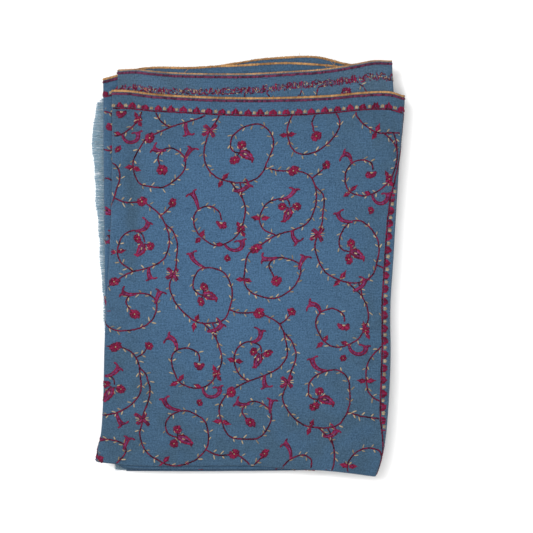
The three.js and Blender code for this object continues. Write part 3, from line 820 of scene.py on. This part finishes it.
def horn(length=15.0, bend=45.0, tails=1.0):
    """A trumpet leaf: it bends to its left, widens and splits into a fishtail."""
    motif, steps = [], max(int(length / 1.7), 4)
    x, y, heading = 0.0, 0.0, 0.0
    spine = [(x, y, heading)]
    for k in range(steps):
        heading += bend / steps * (0.5 + k / steps)
        dx, dy = turned(length / steps, 0, heading)
        x, y = x + dx, y + dy
        spine.append((x, y, heading))
    for k, ((ax, ay, a), (bx, by, b)) in enumerate(zip(spine, spine[1:])):
        wide = 0.4 + 1.15 * (k + 1) / steps
        for side in (-1, 1):
            (sx, sy), (ex, ey) = turned(-0.4, wide * side, a), turned(0.5, wide * side, b)
            motif.append(("crimson", ax + sx, ay + sy, bx + ex, by + ey, 1.35, 0.85))
        (sx, sy), (ex, ey) = turned(-0.4, 0, a), turned(0.5, 0, b)
        motif.append(("magenta", ax + sx, ay + sy, bx + ex, by + ey, wide * 1.5, 1.15))
    tip = []
    for side, reach in ((1, 7.4 * tails), (-1, 5.4 * tails)):
        out, curl = turned(reach * 0.58, 0, side * 40), turned(reach * 0.58, 0, side * 100)
        for across, thread in ((-0.75, "crimson"), (0.75, "crimson"), (0, "magenta")):
            wide, top = (0.9, 1.1) if thread == "magenta" else (1.6, 0.8)
            tip.append((thread, -0.6, across, out[0] + across * 0.4, out[1] + across, wide, top))
            end = 1 if across else 0.6
            tip.append((thread, out[0] * 0.88 + across * 0.4, out[1] * 0.88 + across * 0.9,
                        out[0] + curl[0] * end, out[1] + curl[1] * end, wide * 0.85, top))
    return motif + moved(tip, *spine[-1])


def butterfly():
    """Four petals set crosswise on the stem, with cream stitches to both sides."""
    motif = []
    for lean, reach in ((44, 8.4), (-44, 8.0), (138, 7.8), (-138, 8.2)):
        petal = []
        for across, thread in ((-0.8, "crimson"), (0.8, "crimson"), (0, "magenta")):
            wide, top = (1.0, 1.2) if thread == "magenta" else (1.75, 0.8)
            petal.append((thread, 0.2, across * 0.5, reach * 0.6, across * 1.5, wide, top))
            petal.append((thread, reach * 0.5, across * 1.5, reach * (1.0 if across else 0.78),
                          across * 0.9 + (0.9 if abs(lean) > 90 else -0.9), wide * 0.9, top))
        motif += moved(petal, 0, 0, lean)
    for side in (-90, 90):
        for spread in (-13, 13):
            motif.append(ray("cream", side + spread, 2.4, 6.8, 0.9, 0.9))
    return motif


def paisley(length=13.0):
    """A bent drop: crimson outlines round a magenta and maroon body, with a cream seed."""
    places = (0, 0.2, 0.42, 0.64, 0.84, 1)
    spine = [(length * t, 3.6 * t**2.4) for t in places]
    wides = (0.8, 2.8, 3.3, 2.5, 1.3, 0.3)
    motif = []
    for k in range(5):
        for share, thread, top in ((1, "crimson", 0.95), (-1, "crimson", 0.95), (0.5, "magenta", 0.8),
                                   (-0.5, "magenta", 0.8), (0, "maroon", 0.7)):
            motif.append((thread, spine[k][0] - 0.5, spine[k][1] + wides[k] * share,
                          spine[k + 1][0] + 0.5, spine[k + 1][1] + wides[k + 1] * share, 2.0, top))
    motif.append(("cream", 3.0, 0.3, 6.8, 0.7, 1.25, 1.7))
    tip_x, tip_y = spine[-1]
    motif.append(("crimson", tip_x - 0.8, tip_y - 0.6, tip_x - 0.6, tip_y + 2.8, 1.6, 0.9))
    return motif


def cluster():
    """A scroll's ending: a paisley with a stalked flower to each side of its root."""
    motif = moved(paisley(hand.uniform(13, 14.2)), 0.6, -0.2, 2, 1, -1)
    for side in (-1, 1):
        x, y = hand.uniform(-1.8, -0.4), side * hand.uniform(6.6, 7.4)
        motif.append(("maroon", 0, 0, x * 0.8, y * 0.7, 1.1, 0.7))
        motif += moved(flower(hand.uniform(8.2, 9.2), 8), x, y)
    for degrees in (46, 70, -48, 128):
        motif.append(ray("cream", degrees, 3.6, 7.0, 1.0, 0.85))
    return motif


def lotus():
    """A flower seen from its side, spread out below the vine's end."""
    motif = moved(flower(hand.uniform(11, 12), 7, 230), 1.0, 0)
    motif.append(("cream", 0.6, -2.2, 0.6, 2.2, 1.3, 1.3))
    return motif


def hook():
    """A broad horn bent right round, with a bud outside it and a small flower under its turn."""
    motif = horn(hand.uniform(24, 27), 190, 0.95)
    motif += moved(bud(6.6), -0.2, -1.6, -118)
    return motif + moved(flower(7.4, 6), 14.0, -3.6)


def sprig():
    """A small flower on the vine with a bud to each side."""
    return moved(flower(8.4, 6), 0, 0) + moved(bud(6.0), 2.0, 1.4, 48) + moved(bud(5.8), -1.6, -1.8, -140)


# ---- One repeat of the vine ----
# The field is one drawing set over and over, in staircases down the cloth: a stem that drops through a
# butterfly and turns up into a scroll, a run on to the next stem, a second scroll with a smaller one hung
# from it and a small one between. In mm from the butterfly, with y towards the hem.
NEXT_ACROSS = (112.5, -95.5)
NEXT_BELOW = (-20.0, -135.5)
VINES = [
    [(-6, 49), (1, 42), (5, 30), (4, 14), (0, 0), (-2.5, -13), (1, -25), (9, -35), (22, -42), (37, -43),
     (50, -38), (56, -28), (57.5, -10), (52, 3), (40, 9.5), (28, 7), (20.5, -2), (20.5, -12),
     (25, -16.5), (31, -17.5)],
    [(56, -28), (68, -31), (83, -30), (95, -34), (102, -39), (106.5, -46.5)],
    [(102, -39), (107, -35), (111.5, -29)],
    [(-6, 49), (-3.5, 38), (-3, 27), (-8, 16), (-20, 8), (-37, 2), (-49, -5), (-59, -14), (-63.5, -27),
     (-63, -41), (-57, -52), (-45, -56), (-31, -54.5), (-20, -46), (-14, -34), (-17, -25), (-27, -20),
     (-37, -20.5), (-42, -28), (-38, -37)],
    [(-37, 2), (-48, 10), (-52.5, 22), (-48, 34), (-38.5, 39.5), (-29, 37.5), (-26, 31)],
    [(28, -42.5), (35, -48), (42, -55), (46, -64), (47.5, -76), (43.5, -89), (35, -99), (23, -103),
     (11, -98), (3.5, -88), (1, -77), (6, -69), (16, -66.5), (25, -71), (27, -78)],
    [(38, -43), (41, -49), (43, -56)],
]
MOTIFS = [  # what it is, where its root lies, the way it points in degrees, and flip
    ("butterfly", 0, 0, -90, 1), ("bud_pair", 22, -42, -22, 1), ("flower", 83, -30.5, 0, 1),
    ("small_flower", 113, -27.5, 0, 1), ("long_horn", 33, 9, 172, -1), ("cluster", 30, -17, -8, 1),
    ("cluster", -27, 29, -104, 1), ("bud_pair", -52, 20, 92, 1), ("horn", -36, 39, 2, 1),
    ("short_horn", -23, 6.5, -92, 1), ("flower", -54, -9, 0, 1), ("bud_pair", -63.5, -40, -82, 1),
    ("short_horn", -15.5, -30, 88, -1), ("short_horn", -35, -20, 204, -1), ("flower", -35.5, -41, 0, 1),
    ("horn", 34, -50, -4, 1), ("sprig", 44.5, -87, -110, 1), ("hook", 31, -101, -84, 1),
    ("bud_pair", 9.5, -96.5, 145, 1), ("horn", 5, -70, 98, 1), ("lotus", 26.5, -80, -98, 1),
]
MAKERS = {
    "butterfly": butterfly, "bud_pair": bud_pair, "cluster": cluster, "sprig": sprig, "hook": hook,
    "lotus": lotus, "flower": lambda: flower(hand.uniform(9.9, 11.1)),
    "small_flower": lambda: flower(hand.uniform(8.4, 9.4), 7),
    "horn": lambda: horn(hand.uniform(13, 15.5), hand.uniform(45, 85)),
    "long_horn": lambda: horn(hand.uniform(18, 20.5), hand.uniform(55, 80), 0.9),
    "short_horn": lambda: horn(hand.uniform(9.5, 11.5), hand.uniform(15, 50), 1.0),
}
STEM_STEP = 2.3
STEM_HEIGHT = 0.75
MOTIF_SCALE = 1.01
THREADS = ["maroon", "crimson", "magenta", "cream"]


def smooth_path(points, step):
    """Evenly spaced places on a smooth curve through points, and the way it goes at each."""
    points = np.array(points, float)
    chords = np.concatenate([[0], np.cumsum(np.linalg.norm(np.diff(points, axis=0), axis=1))])
    fine = np.linspace(0, chords[-1], int(chords[-1] / 0.5) + 2)
    curve = np.stack([smooth_line(zip(chords, points[:, k]))(fine) for k in range(2)], axis=1)
    travelled = np.concatenate([[0], np.cumsum(np.linalg.norm(np.diff(curve, axis=0), axis=1))])
    at = np.linspace(0, travelled[-1], max(int(round(travelled[-1] / step)), 2) + 1)
    placed = np.stack([np.interp(at, travelled, curve[:, k]) for k in range(2)], axis=1)
    way = np.gradient(placed, axis=0)
    return placed, way / np.linalg.norm(way, axis=1, keepdims=True)


def stem_stitches(points, width=1.4):
    """Maroon stem stitch: each stitch starts beside the end of the one before."""
    placed, way = smooth_path(points, STEM_STEP)
    placed = placed + hand.normal(0, 0.14, placed.shape)
    row = []
    for (x0, y0), (x1, y1), (wx, wy) in zip(placed, placed[1:], way):
        side = 0.28 + hand.normal(0, 0.1)
        row.append(("maroon", x0 - wx * 0.5 - wy * side, y0 - wy * 0.5 + wx * side,
                    x1 + wx * 0.5 + wy * side, y1 + wy * 0.5 - wx * side,
                    width + hand.normal(0, 0.08), STEM_HEIGHT))
    return row


LEAFLET_SPACING = 10.0
LEAFLET_SHARE = 0.88  # of the leaflets that there is room for, how many are sewn


def leaflets(points):
    """Pale leaflets along a vine, mostly in pairs that point forwards and out."""
    placed, way = smooth_path(points, 1.0)
    row, at = [], hand.uniform(4, 8)
    while at < len(placed) - 5:
        for side in (-1, 1):
            if hand.uniform() < LEAFLET_SHARE:
                k = int(at + hand.uniform(-1.4, 1.4))
                (x, y), (wx, wy) = placed[k], way[k]
                degrees = math.degrees(math.atan2(wy, wx)) + side * hand.uniform(26, 64)
                off = hand.uniform(0.5, 1.1)
                length, width = hand.uniform(3.6, 5.2), hand.uniform(0.95, 1.4)
                row.append(moved([("cream", off, 0, off + length, 0, width, 0.8)], x, y, degrees))
        at += LEAFLET_SPACING * hand.uniform(0.72, 1.22)
    return row


def draw_repeat():
    """One repeat's stitches as rows of numbers: both ends, width, height, thread, and the motif's middle
    and reach."""
    groups = []
    for vine in VINES:
        groups += [[one] for one in stem_stitches(vine)] + leaflets(vine)
    for kind, x, y, way, flip in MOTIFS:
        groups.append(moved(MAKERS[kind](), x + hand.normal(0, 0.5), y + hand.normal(0, 0.5),
                            way + hand.normal(0, 5), MOTIF_SCALE, flip))
    rows = []
    for group in groups:
        ends = np.array([stroke[1:5] for stroke in group])
        anchor = ends.reshape(-1, 2).mean(axis=0)
        reach = 0.7 * np.abs(ends.reshape(-1, 2) - anchor).max()
        rows += [(*stroke[1:7], THREADS.index(stroke[0]), *anchor, reach) for stroke in group]
    return np.array(rows)


def out_of_true(places):
    """The whole drawing wanders by a few mm, as work drawn and sewn by hand does."""
    x, y = places[..., 0], places[..., 1]
    x_drift = 2.6 * np.sin(y / 37 + 0.7) + 1.9 * np.sin(x / 29 + y / 53) + 0.6 * np.sin(y / 4.9 + x / 13)
    y_drift = 2.4 * np.sin(x / 33 + 1.9) + 1.8 * np.sin(y / 23 - x / 49) + 0.6 * np.sin(x / 5.3 - y / 17)
    return np.stack([x + x_drift, y + y_drift], axis=-1)


# ---- The embroidered field ----
# The vine covers the whole cloth between its borders. It is drawn flat, in mm along the cloth from the end
# border's line (x, negative into the cloth) and across it from the front hem (y, negative downwards), and
# only the stitches that can show on the folded packet are sewn.
HALF_WIDTH = 346.0  # from a hem to the turn at the foot
FOOT_TURN = math.pi * HALF
CLOTH_WIDTH = 2 * HALF_WIDTH + FOOT_TURN
BORDER = 16.2  # from the hem to the border's line
FIRST_BUTTERFLY = (-197, -170)
FACE_DRAWING = 260  # from the end border's line to where the face turns at the left
variants = [draw_repeat() for _ in range(5)]
copies = []
for i in range(-18, 4):
    for j in range(-6, 20):
        x = FIRST_BUTTERFLY[0] + i * NEXT_ACROSS[0] + j * NEXT_BELOW[0]
        y = FIRST_BUTTERFLY[1] + i * NEXT_ACROSS[1] + j * NEXT_BELOW[1]
        if -1990 < x < 90 and -CLOTH_WIDTH - 150 < y < 150:
            copy = variants[(3 * i + 2 * j) % 5].copy()
            copy[:, [0, 2, 7]] += x
            copy[:, [1, 3, 8]] += y
            copies.append(copy)
field = np.concatenate(copies)
for first in (0, 2, 7):
    field[:, first:first + 2] = out_of_true(field[:, first:first + 2])
anchor_x, anchor_y, reach = field[:, 7], field[:, 8], field[:, 9]
field = field[(anchor_x < -reach * 0.8) & (anchor_y < -BORDER - reach)
              & (anchor_y > -CLOTH_WIDTH + BORDER + reach)]

# The end border's line, as its distance inside the face's right fold, down the packet: (y, mm).
END_LINE = smooth_line([(122, -1.5), (106, 1.2), (87, 3.3), (67, 6.2), (10, 7.6), (-59, 8), (-110, 7.5),
                        (-134, 6), (-147, 3.4), (-164, 1), (-179, 0)])
ROUND = math.pi * outer
runs = {}  # for each leaf past the first, where along the cloth it starts and ends
travelled = -FACE_DRAWING - ROUND
for leaf_number in range(2, LEAVES + 1):
    starts, ends = leaf_ends(leaf_number, 0.0, 1.0)
    runs[leaf_number] = (travelled, travelled - abs(ends - starts))
    travelled -= abs(ends - starts) + ROUND


def outside(leaf, x, y, lift):
    """The point of a leaf, or of the fold after it, at a place of the flat drawing."""
    deep = -y
    turn = np.clip((deep - HALF_WIDTH) / HALF, 0, math.pi)
    share = np.where(deep < HALF_WIDTH, 1 - deep / HALF_WIDTH,
                     (deep - HALF_WIDTH - FOOT_TURN) / HALF_WIDTH)
    share = np.clip(share, 0, 1.02)
    radius = HALF + lift
    off, foot_in, front = radius * np.cos(turn), HALF - radius * np.sin(turn), (1 + np.cos(turn)) / 2
    level = mix(FOOT_LEVEL, HEM_LEVEL, share)
    start, end = leaf_ends(leaf, level, front)
    if leaf == 1:
        across = start + outer - END_LINE(level) + x
        before, after = (across - start) / outer, (end - across) / outer
    else:
        first, last = runs[leaf]
        across = mix(start, end, (first - x) / (first - last))
        before, after = np.full(len(x), -1.0), (last - x) / outer
    point = leaf_point(leaf, across, share, off, front, foot_in)
    if leaf == 1:
        bent = fold_point(0, np.clip(before, 0, 3), share, off, front, foot_in)
        point = np.where((before > 0)[:, None], bent, point)
    if leaf < LEAVES:
        bent = fold_point(leaf, np.clip(after, 0, 3.1), share, off, front, foot_in)
        point = np.where((after > 0)[:, None], bent, point)
    return point / MM, before, after


sewn = {thread: [[] for _ in range(6)] for thread in THREADS}


def sew(leaf, strokes, store_of, lift=CLOTH / 2):
    """Lays flat strokes on one leaf, on its right side or, with a negative lift, on its wrong one."""
    starts, _, _ = outside(leaf, strokes[:, 0], strokes[:, 1], lift)
    ends, _, _ = outside(leaf, strokes[:, 2], strokes[:, 3], lift)
    above, _, _ = outside(leaf, strokes[:, 0], strokes[:, 1], lift + math.copysign(0.3, lift))
    normals = above - starts
    normals /= np.linalg.norm(normals, axis=1, keepdims=True)
    for thread_number, store in store_of:
        mine = strokes[:, 6] == thread_number
        keep(store, starts[mine], ends[mine], normals[mine], strokes[mine, 4], strokes[mine, 5],
             hand.uniform(0.05, 0.95, mine.sum()))


PLAIN_TO = 20  # left of here the feet of all lower leaves but the third and fifth are left plain
ABOVE_FOOT, BELOW_FOOT = 9, 5  # how much of the cloth shows round the foot, before its turn and after
BESIDE_TURN, BESIDE_STRIP = 5, 16  # how much shows before a cross fold, and before the strip's
FACE_TURN, LOWER_TURN = 3, 3.1  # how far round a fold stitches are sewn, in radians
LAST_TURN = 2.2  # and round the last one, whose stitches would reach the floor


def visible(leaf, strokes):
    """Which strokes of a leaf can be seen: the whole face, and the edges of all that lies below it."""
    middle = (strokes[:, :2] + strokes[:, 2:4]) / 2
    point, before, after = outside(leaf, middle[:, 0], middle[:, 1], 0)
    deep = -middle[:, 1]
    foot_end = HALF_WIDTH + FOOT_TURN + BELOW_FOOT
    foot = (deep > HALF_WIDTH - ABOVE_FOOT) & (deep < foot_end)
    if leaf == 1:
        return (before < FACE_TURN) & (after < FACE_TURN) & (deep < foot_end)
    front = deep < HALF_WIDTH + FOOT_TURN / 2
    margin = BESIDE_STRIP if leaf == 3 else BESIDE_TURN
    round_to = LAST_TURN if leaf == LEAVES - 1 else LOWER_TURN
    on_leaf = (middle[:, 0] < runs[leaf][0]) & (after < round_to)
    turns = (after > -margin / outer) & (front if leaf % 2 else ~front) & (leaf < LEAVES)
    foot &= (point[:, 0] > PLAIN_TO) | (leaf in (3, 5))
    foot &= (leaf < LEAVES) | front
    return on_leaf & (turns | foot)


# ---- The borders ----
# Along each hem and across the end: a maroon line, with domed crimson fans standing on it towards the edge
# and pale tufts between them.
FAN_PITCH = 11.8


def fan(size):
    """A dome of satin stitches on the border's line, pointing along +x."""
    motif = []
    for lean, reach in ((-1, 0.66), (-0.52, 0.9), (0, 1.0), (0.52, 0.9), (1, 0.66)):
        motif.append(("crimson", 0.3, lean * size * 0.42, size * 0.92 * reach * hand.uniform(0.84, 1.1),
                      lean * size * 0.35, 1.65, hand.uniform(0.7, 1.0)))
    motif.append(("magenta", 1.3, 0, 4.4, 0, 0.9, 1.15))
    return motif


def tuft():
    """A pale rounded tuft of four short stitches."""
    motif = []
    for side in (-1.5, -0.5, 0.5, 1.5):
        motif.append(("cream", 0.9, side * 0.6, hand.uniform(4.5, 5.5) - 0.6 * abs(side),
                      side * hand.uniform(0.7, 1.1), 0.95, 0.85))
    return motif


def border(length, at, way):
    """A border as strokes: at gives the place of a distance along its line, way its pointing direction."""
    rows = stem_stitches([at(d) for d in np.arange(0, length, 12.0)], width=1.45)
    for distance in np.arange(8.0, length - 14, FAN_PITCH):
        rows += moved(fan(hand.uniform(6.6, 7.6)), *at(distance + hand.normal(0, 0.3)), way)
        rows += moved(tuft(), *at(distance + FAN_PITCH / 2), way + hand.normal(0, 5))
    return np.array([(*row[1:7], THREADS.index(row[0])) for row in rows])


PAST_END = 4  # how far past the end border's line the hems' borders start
# How far the back hem's border strays from its line, away from the edge: (distance along it, mm).
BACK_DRIFT = smooth_line([(0, 0.4), (60, -1.4), (92, -1.9), (120, -0.2), (170, 1.6), (223, 2.9)])


def hem_line(distance):
    return PAST_END - distance, -BORDER + 0.6 * math.sin(distance / 27)


def back_hem_line(distance):
    return PAST_END - distance, -CLOTH_WIDTH + BORDER + float(BACK_DRIFT(distance))


def end_line(distance):
    return 0.5 * math.sin(distance / 24), -BORDER - distance


HEM_DRAWN = 1900  # more than the length that is sewn
borders = np.concatenate([
    border(HEM_DRAWN, hem_line, 90), border(CLOTH_WIDTH - 2 * BORDER, end_line, 0),
])
flat = np.concatenate([field[:, :7], borders])
store_of = [(THREADS.index(thread), store) for thread, store in sewn.items()]
middles = (flat[:, 0] + flat[:, 2]) / 2
INTO_NEXT = 12  # how much more of the drawing the face may need, because its width varies
for leaf_number in range(1, LEAVES + 1):
    if leaf_number == 1:
        mine = middles > -FACE_DRAWING - ROUND - INTO_NEXT
    else:
        first, last = runs[leaf_number]
        mine = (middles < first) & (middles > last - ROUND)
    strokes = flat[mine]
    strokes = strokes[visible(leaf_number, strokes)]
    sew(leaf_number, strokes, store_of)

# The band above the face's hem shows the wrong side of the back half: the border and the vines' ends from
# behind, muddled and darker, with short crossed stitches all along the border.
BAND_LENGTH = 260
BAND_DEPTH = 42
BAND_THINNED = 0.35  # how many of the border's stitches show through
CROSSED_STEP = 0.29
CROSSED_WAYS = [35, 90, 145]
CROSSED_SHARES = [0.42, 0.24, 0.19, 0.15]  # of maroon, crimson, magenta and cream
back_border = border(BAND_LENGTH + 2, back_hem_line, -90)
back_border = back_border[hand.uniform(0, 1, len(back_border)) < BAND_THINNED]
behind = np.concatenate([field[:, :7], back_border])
deep = -(behind[:, 1] + behind[:, 3]) / 2
behind = behind[(deep > CLOTH_WIDTH - BAND_DEPTH) & (behind[:, 0] > 2 - BAND_LENGTH)]
behind[:, :4] += hand.normal(0, 0.4, (len(behind), 4))
behind[:, 4:6] *= 0.75
crossed = []
for distance in np.arange(0, BAND_LENGTH, CROSSED_STEP):
    x, y = back_hem_line(distance)
    dome = abs(math.sin(math.pi * distance / FAN_PITCH))
    x, y = x + hand.normal(0, 0.5), y - hand.uniform(-0.8, 3.4 + 2.4 * dome)
    dx, dy = turned(hand.uniform(0.6, 1.35), 0, hand.choice(CROSSED_WAYS) + hand.normal(0, 16))
    thread = hand.choice([0, 1, 2, 3], p=CROSSED_SHARES)
    crossed.append((x - dx, y - dy, x + dx, y + dy, hand.uniform(0.6, 0.95), 0.6, thread))
sew(1, np.concatenate([behind, crossed]), store_of, -CLOTH / 2)

crimson_wool = thread_material("crimson_wool", (0.048, 0.0015, 0.01), (0.182, 0.0085, 0.041))
magenta_wool = thread_material("magenta_wool", (0.052, 0.0095, 0.037), (0.145, 0.029, 0.1))
vine_wool = thread_material("vine_wool", (0.016, 0.001, 0.005), (0.12, 0.0075, 0.03))
cream_silk = thread_material("cream_silk", (0.13, 0.1, 0.066), (0.3, 0.237, 0.158))
FINISHES = {"maroon": vine_wool, "crimson": crimson_wool, "magenta": magenta_wool, "cream": cream_silk}
embroidery = [stitched("embroidery_" + thread, sewn[thread], FINISHES[thread])
              for thread in THREADS]

# ---- The eyelash fringe ----
# The cloth's raw end at the left: its weft is drawn out, so that the loose pale ends of the warp stand out
# beyond both layers and sink to the surface the packet rests on.
FRINGE_REACH = 11.9
FRINGE_THREADS = 3400
FRINGE_RINGS = 5
FRINGE_SIDES = 3
FRINGE_START = 0.8  # how far inside the raw end a thread starts
SHORT_SHARE, SHORTENED = 0.12, 0.7  # how many threads are broken off, and to what part of their reach
REST_HEIGHT, REST_LIFT = 0.25, 0.9  # where the tips come to rest, and what the upper layer's roots add


def fringe_strands():
    """Every loose end as one mesh of thin tapered tubes."""
    loose = np.random.default_rng(5)
    front = (loose.uniform(0, 1, FRINGE_THREADS) < 0.5).astype(float)
    share = np.sort(loose.uniform(0.0, 1.003, FRINGE_THREADS))
    level = mix(FOOT_LEVEL, HEM_LEVEL, share)
    start = raw_end(level) + FRINGE_START
    root = leaf_point(LEAVES, start, share, HALF * (2 * front - 1), front, HALF) / MM
    wave = np.sin(root[:, 1] / 9 + 1.1) + 0.7 * np.sin(root[:, 1] / 4.1)
    reach = FRINGE_REACH + 0.45 * wave + loose.normal(0, 0.55, FRINGE_THREADS)
    reach[loose.uniform(0, 1, FRINGE_THREADS) < SHORT_SHARE] *= SHORTENED
    reach *= 0.5 + 0.5 * smoothstep(share, 1.005, 0.985)
    drift = loose.normal(0, 0.9, FRINGE_THREADS) + 0.5 * np.sin(root[:, 1] / 6.3)
    curl = loose.normal(0, 0.35, (FRINGE_THREADS, 2))
    thick = loose.uniform(0.28, 0.48, FRINGE_THREADS)
    points = np.empty((FRINGE_THREADS, FRINGE_RINGS, FRINGE_SIDES, 3))
    for ring in range(FRINGE_RINGS):
        t = ring / (FRINGE_RINGS - 1)
        x = root[:, 0] - reach * t
        y = root[:, 1] + drift * t**1.6 + curl[:, 0] * math.sin(5 * t)
        rest = REST_HEIGHT + REST_LIFT * front * (1 - t)
        z = mix(root[:, 2], rest, smoothstep(t, 0.05, 0.7))
        z = z + np.abs(curl[:, 1]) * math.sin(math.pi * t)
        for side in range(FRINGE_SIDES):
            turn = 2 * math.pi * side / FRINGE_SIDES
            radius = thick / 2 * (1 - 0.35 * t)
            round_y, round_z = radius * math.cos(turn), radius * math.sin(turn)
            points[:, ring, side] = np.stack([x, y + round_y, z + round_z], -1)
    base = np.arange(FRINGE_THREADS)[:, None] * FRINGE_RINGS * FRINGE_SIDES
    faces = []
    for ring in range(FRINGE_RINGS - 1):
        for side in range(FRINGE_SIDES):
            a, b = ring * FRINGE_SIDES + side, ring * FRINGE_SIDES + (side + 1) % FRINGE_SIDES
            corners = [base + a, base + b, base + b + FRINGE_SIDES, base + a + FRINGE_SIDES]
            faces += np.concatenate(corners, axis=1).tolist()
    last = (FRINGE_RINGS - 1) * FRINGE_SIDES
    faces += (base + last + np.arange(FRINGE_SIDES)).tolist()
    shades = np.repeat(loose.uniform(0, 1, FRINGE_THREADS), FRINGE_RINGS * FRINGE_SIDES)
    return mesh_object("eyelash_fringe", points * MM, faces, strand_shade=shades)


fringe = fringe_strands()
fringe_wool = thread_material("fringe_wool", (0.135, 0.23, 0.305), (0.31, 0.42, 0.5), 0.9)
fringe.data.materials.append(fringe_wool)
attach(fringe, "root")
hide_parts("end_fringe")
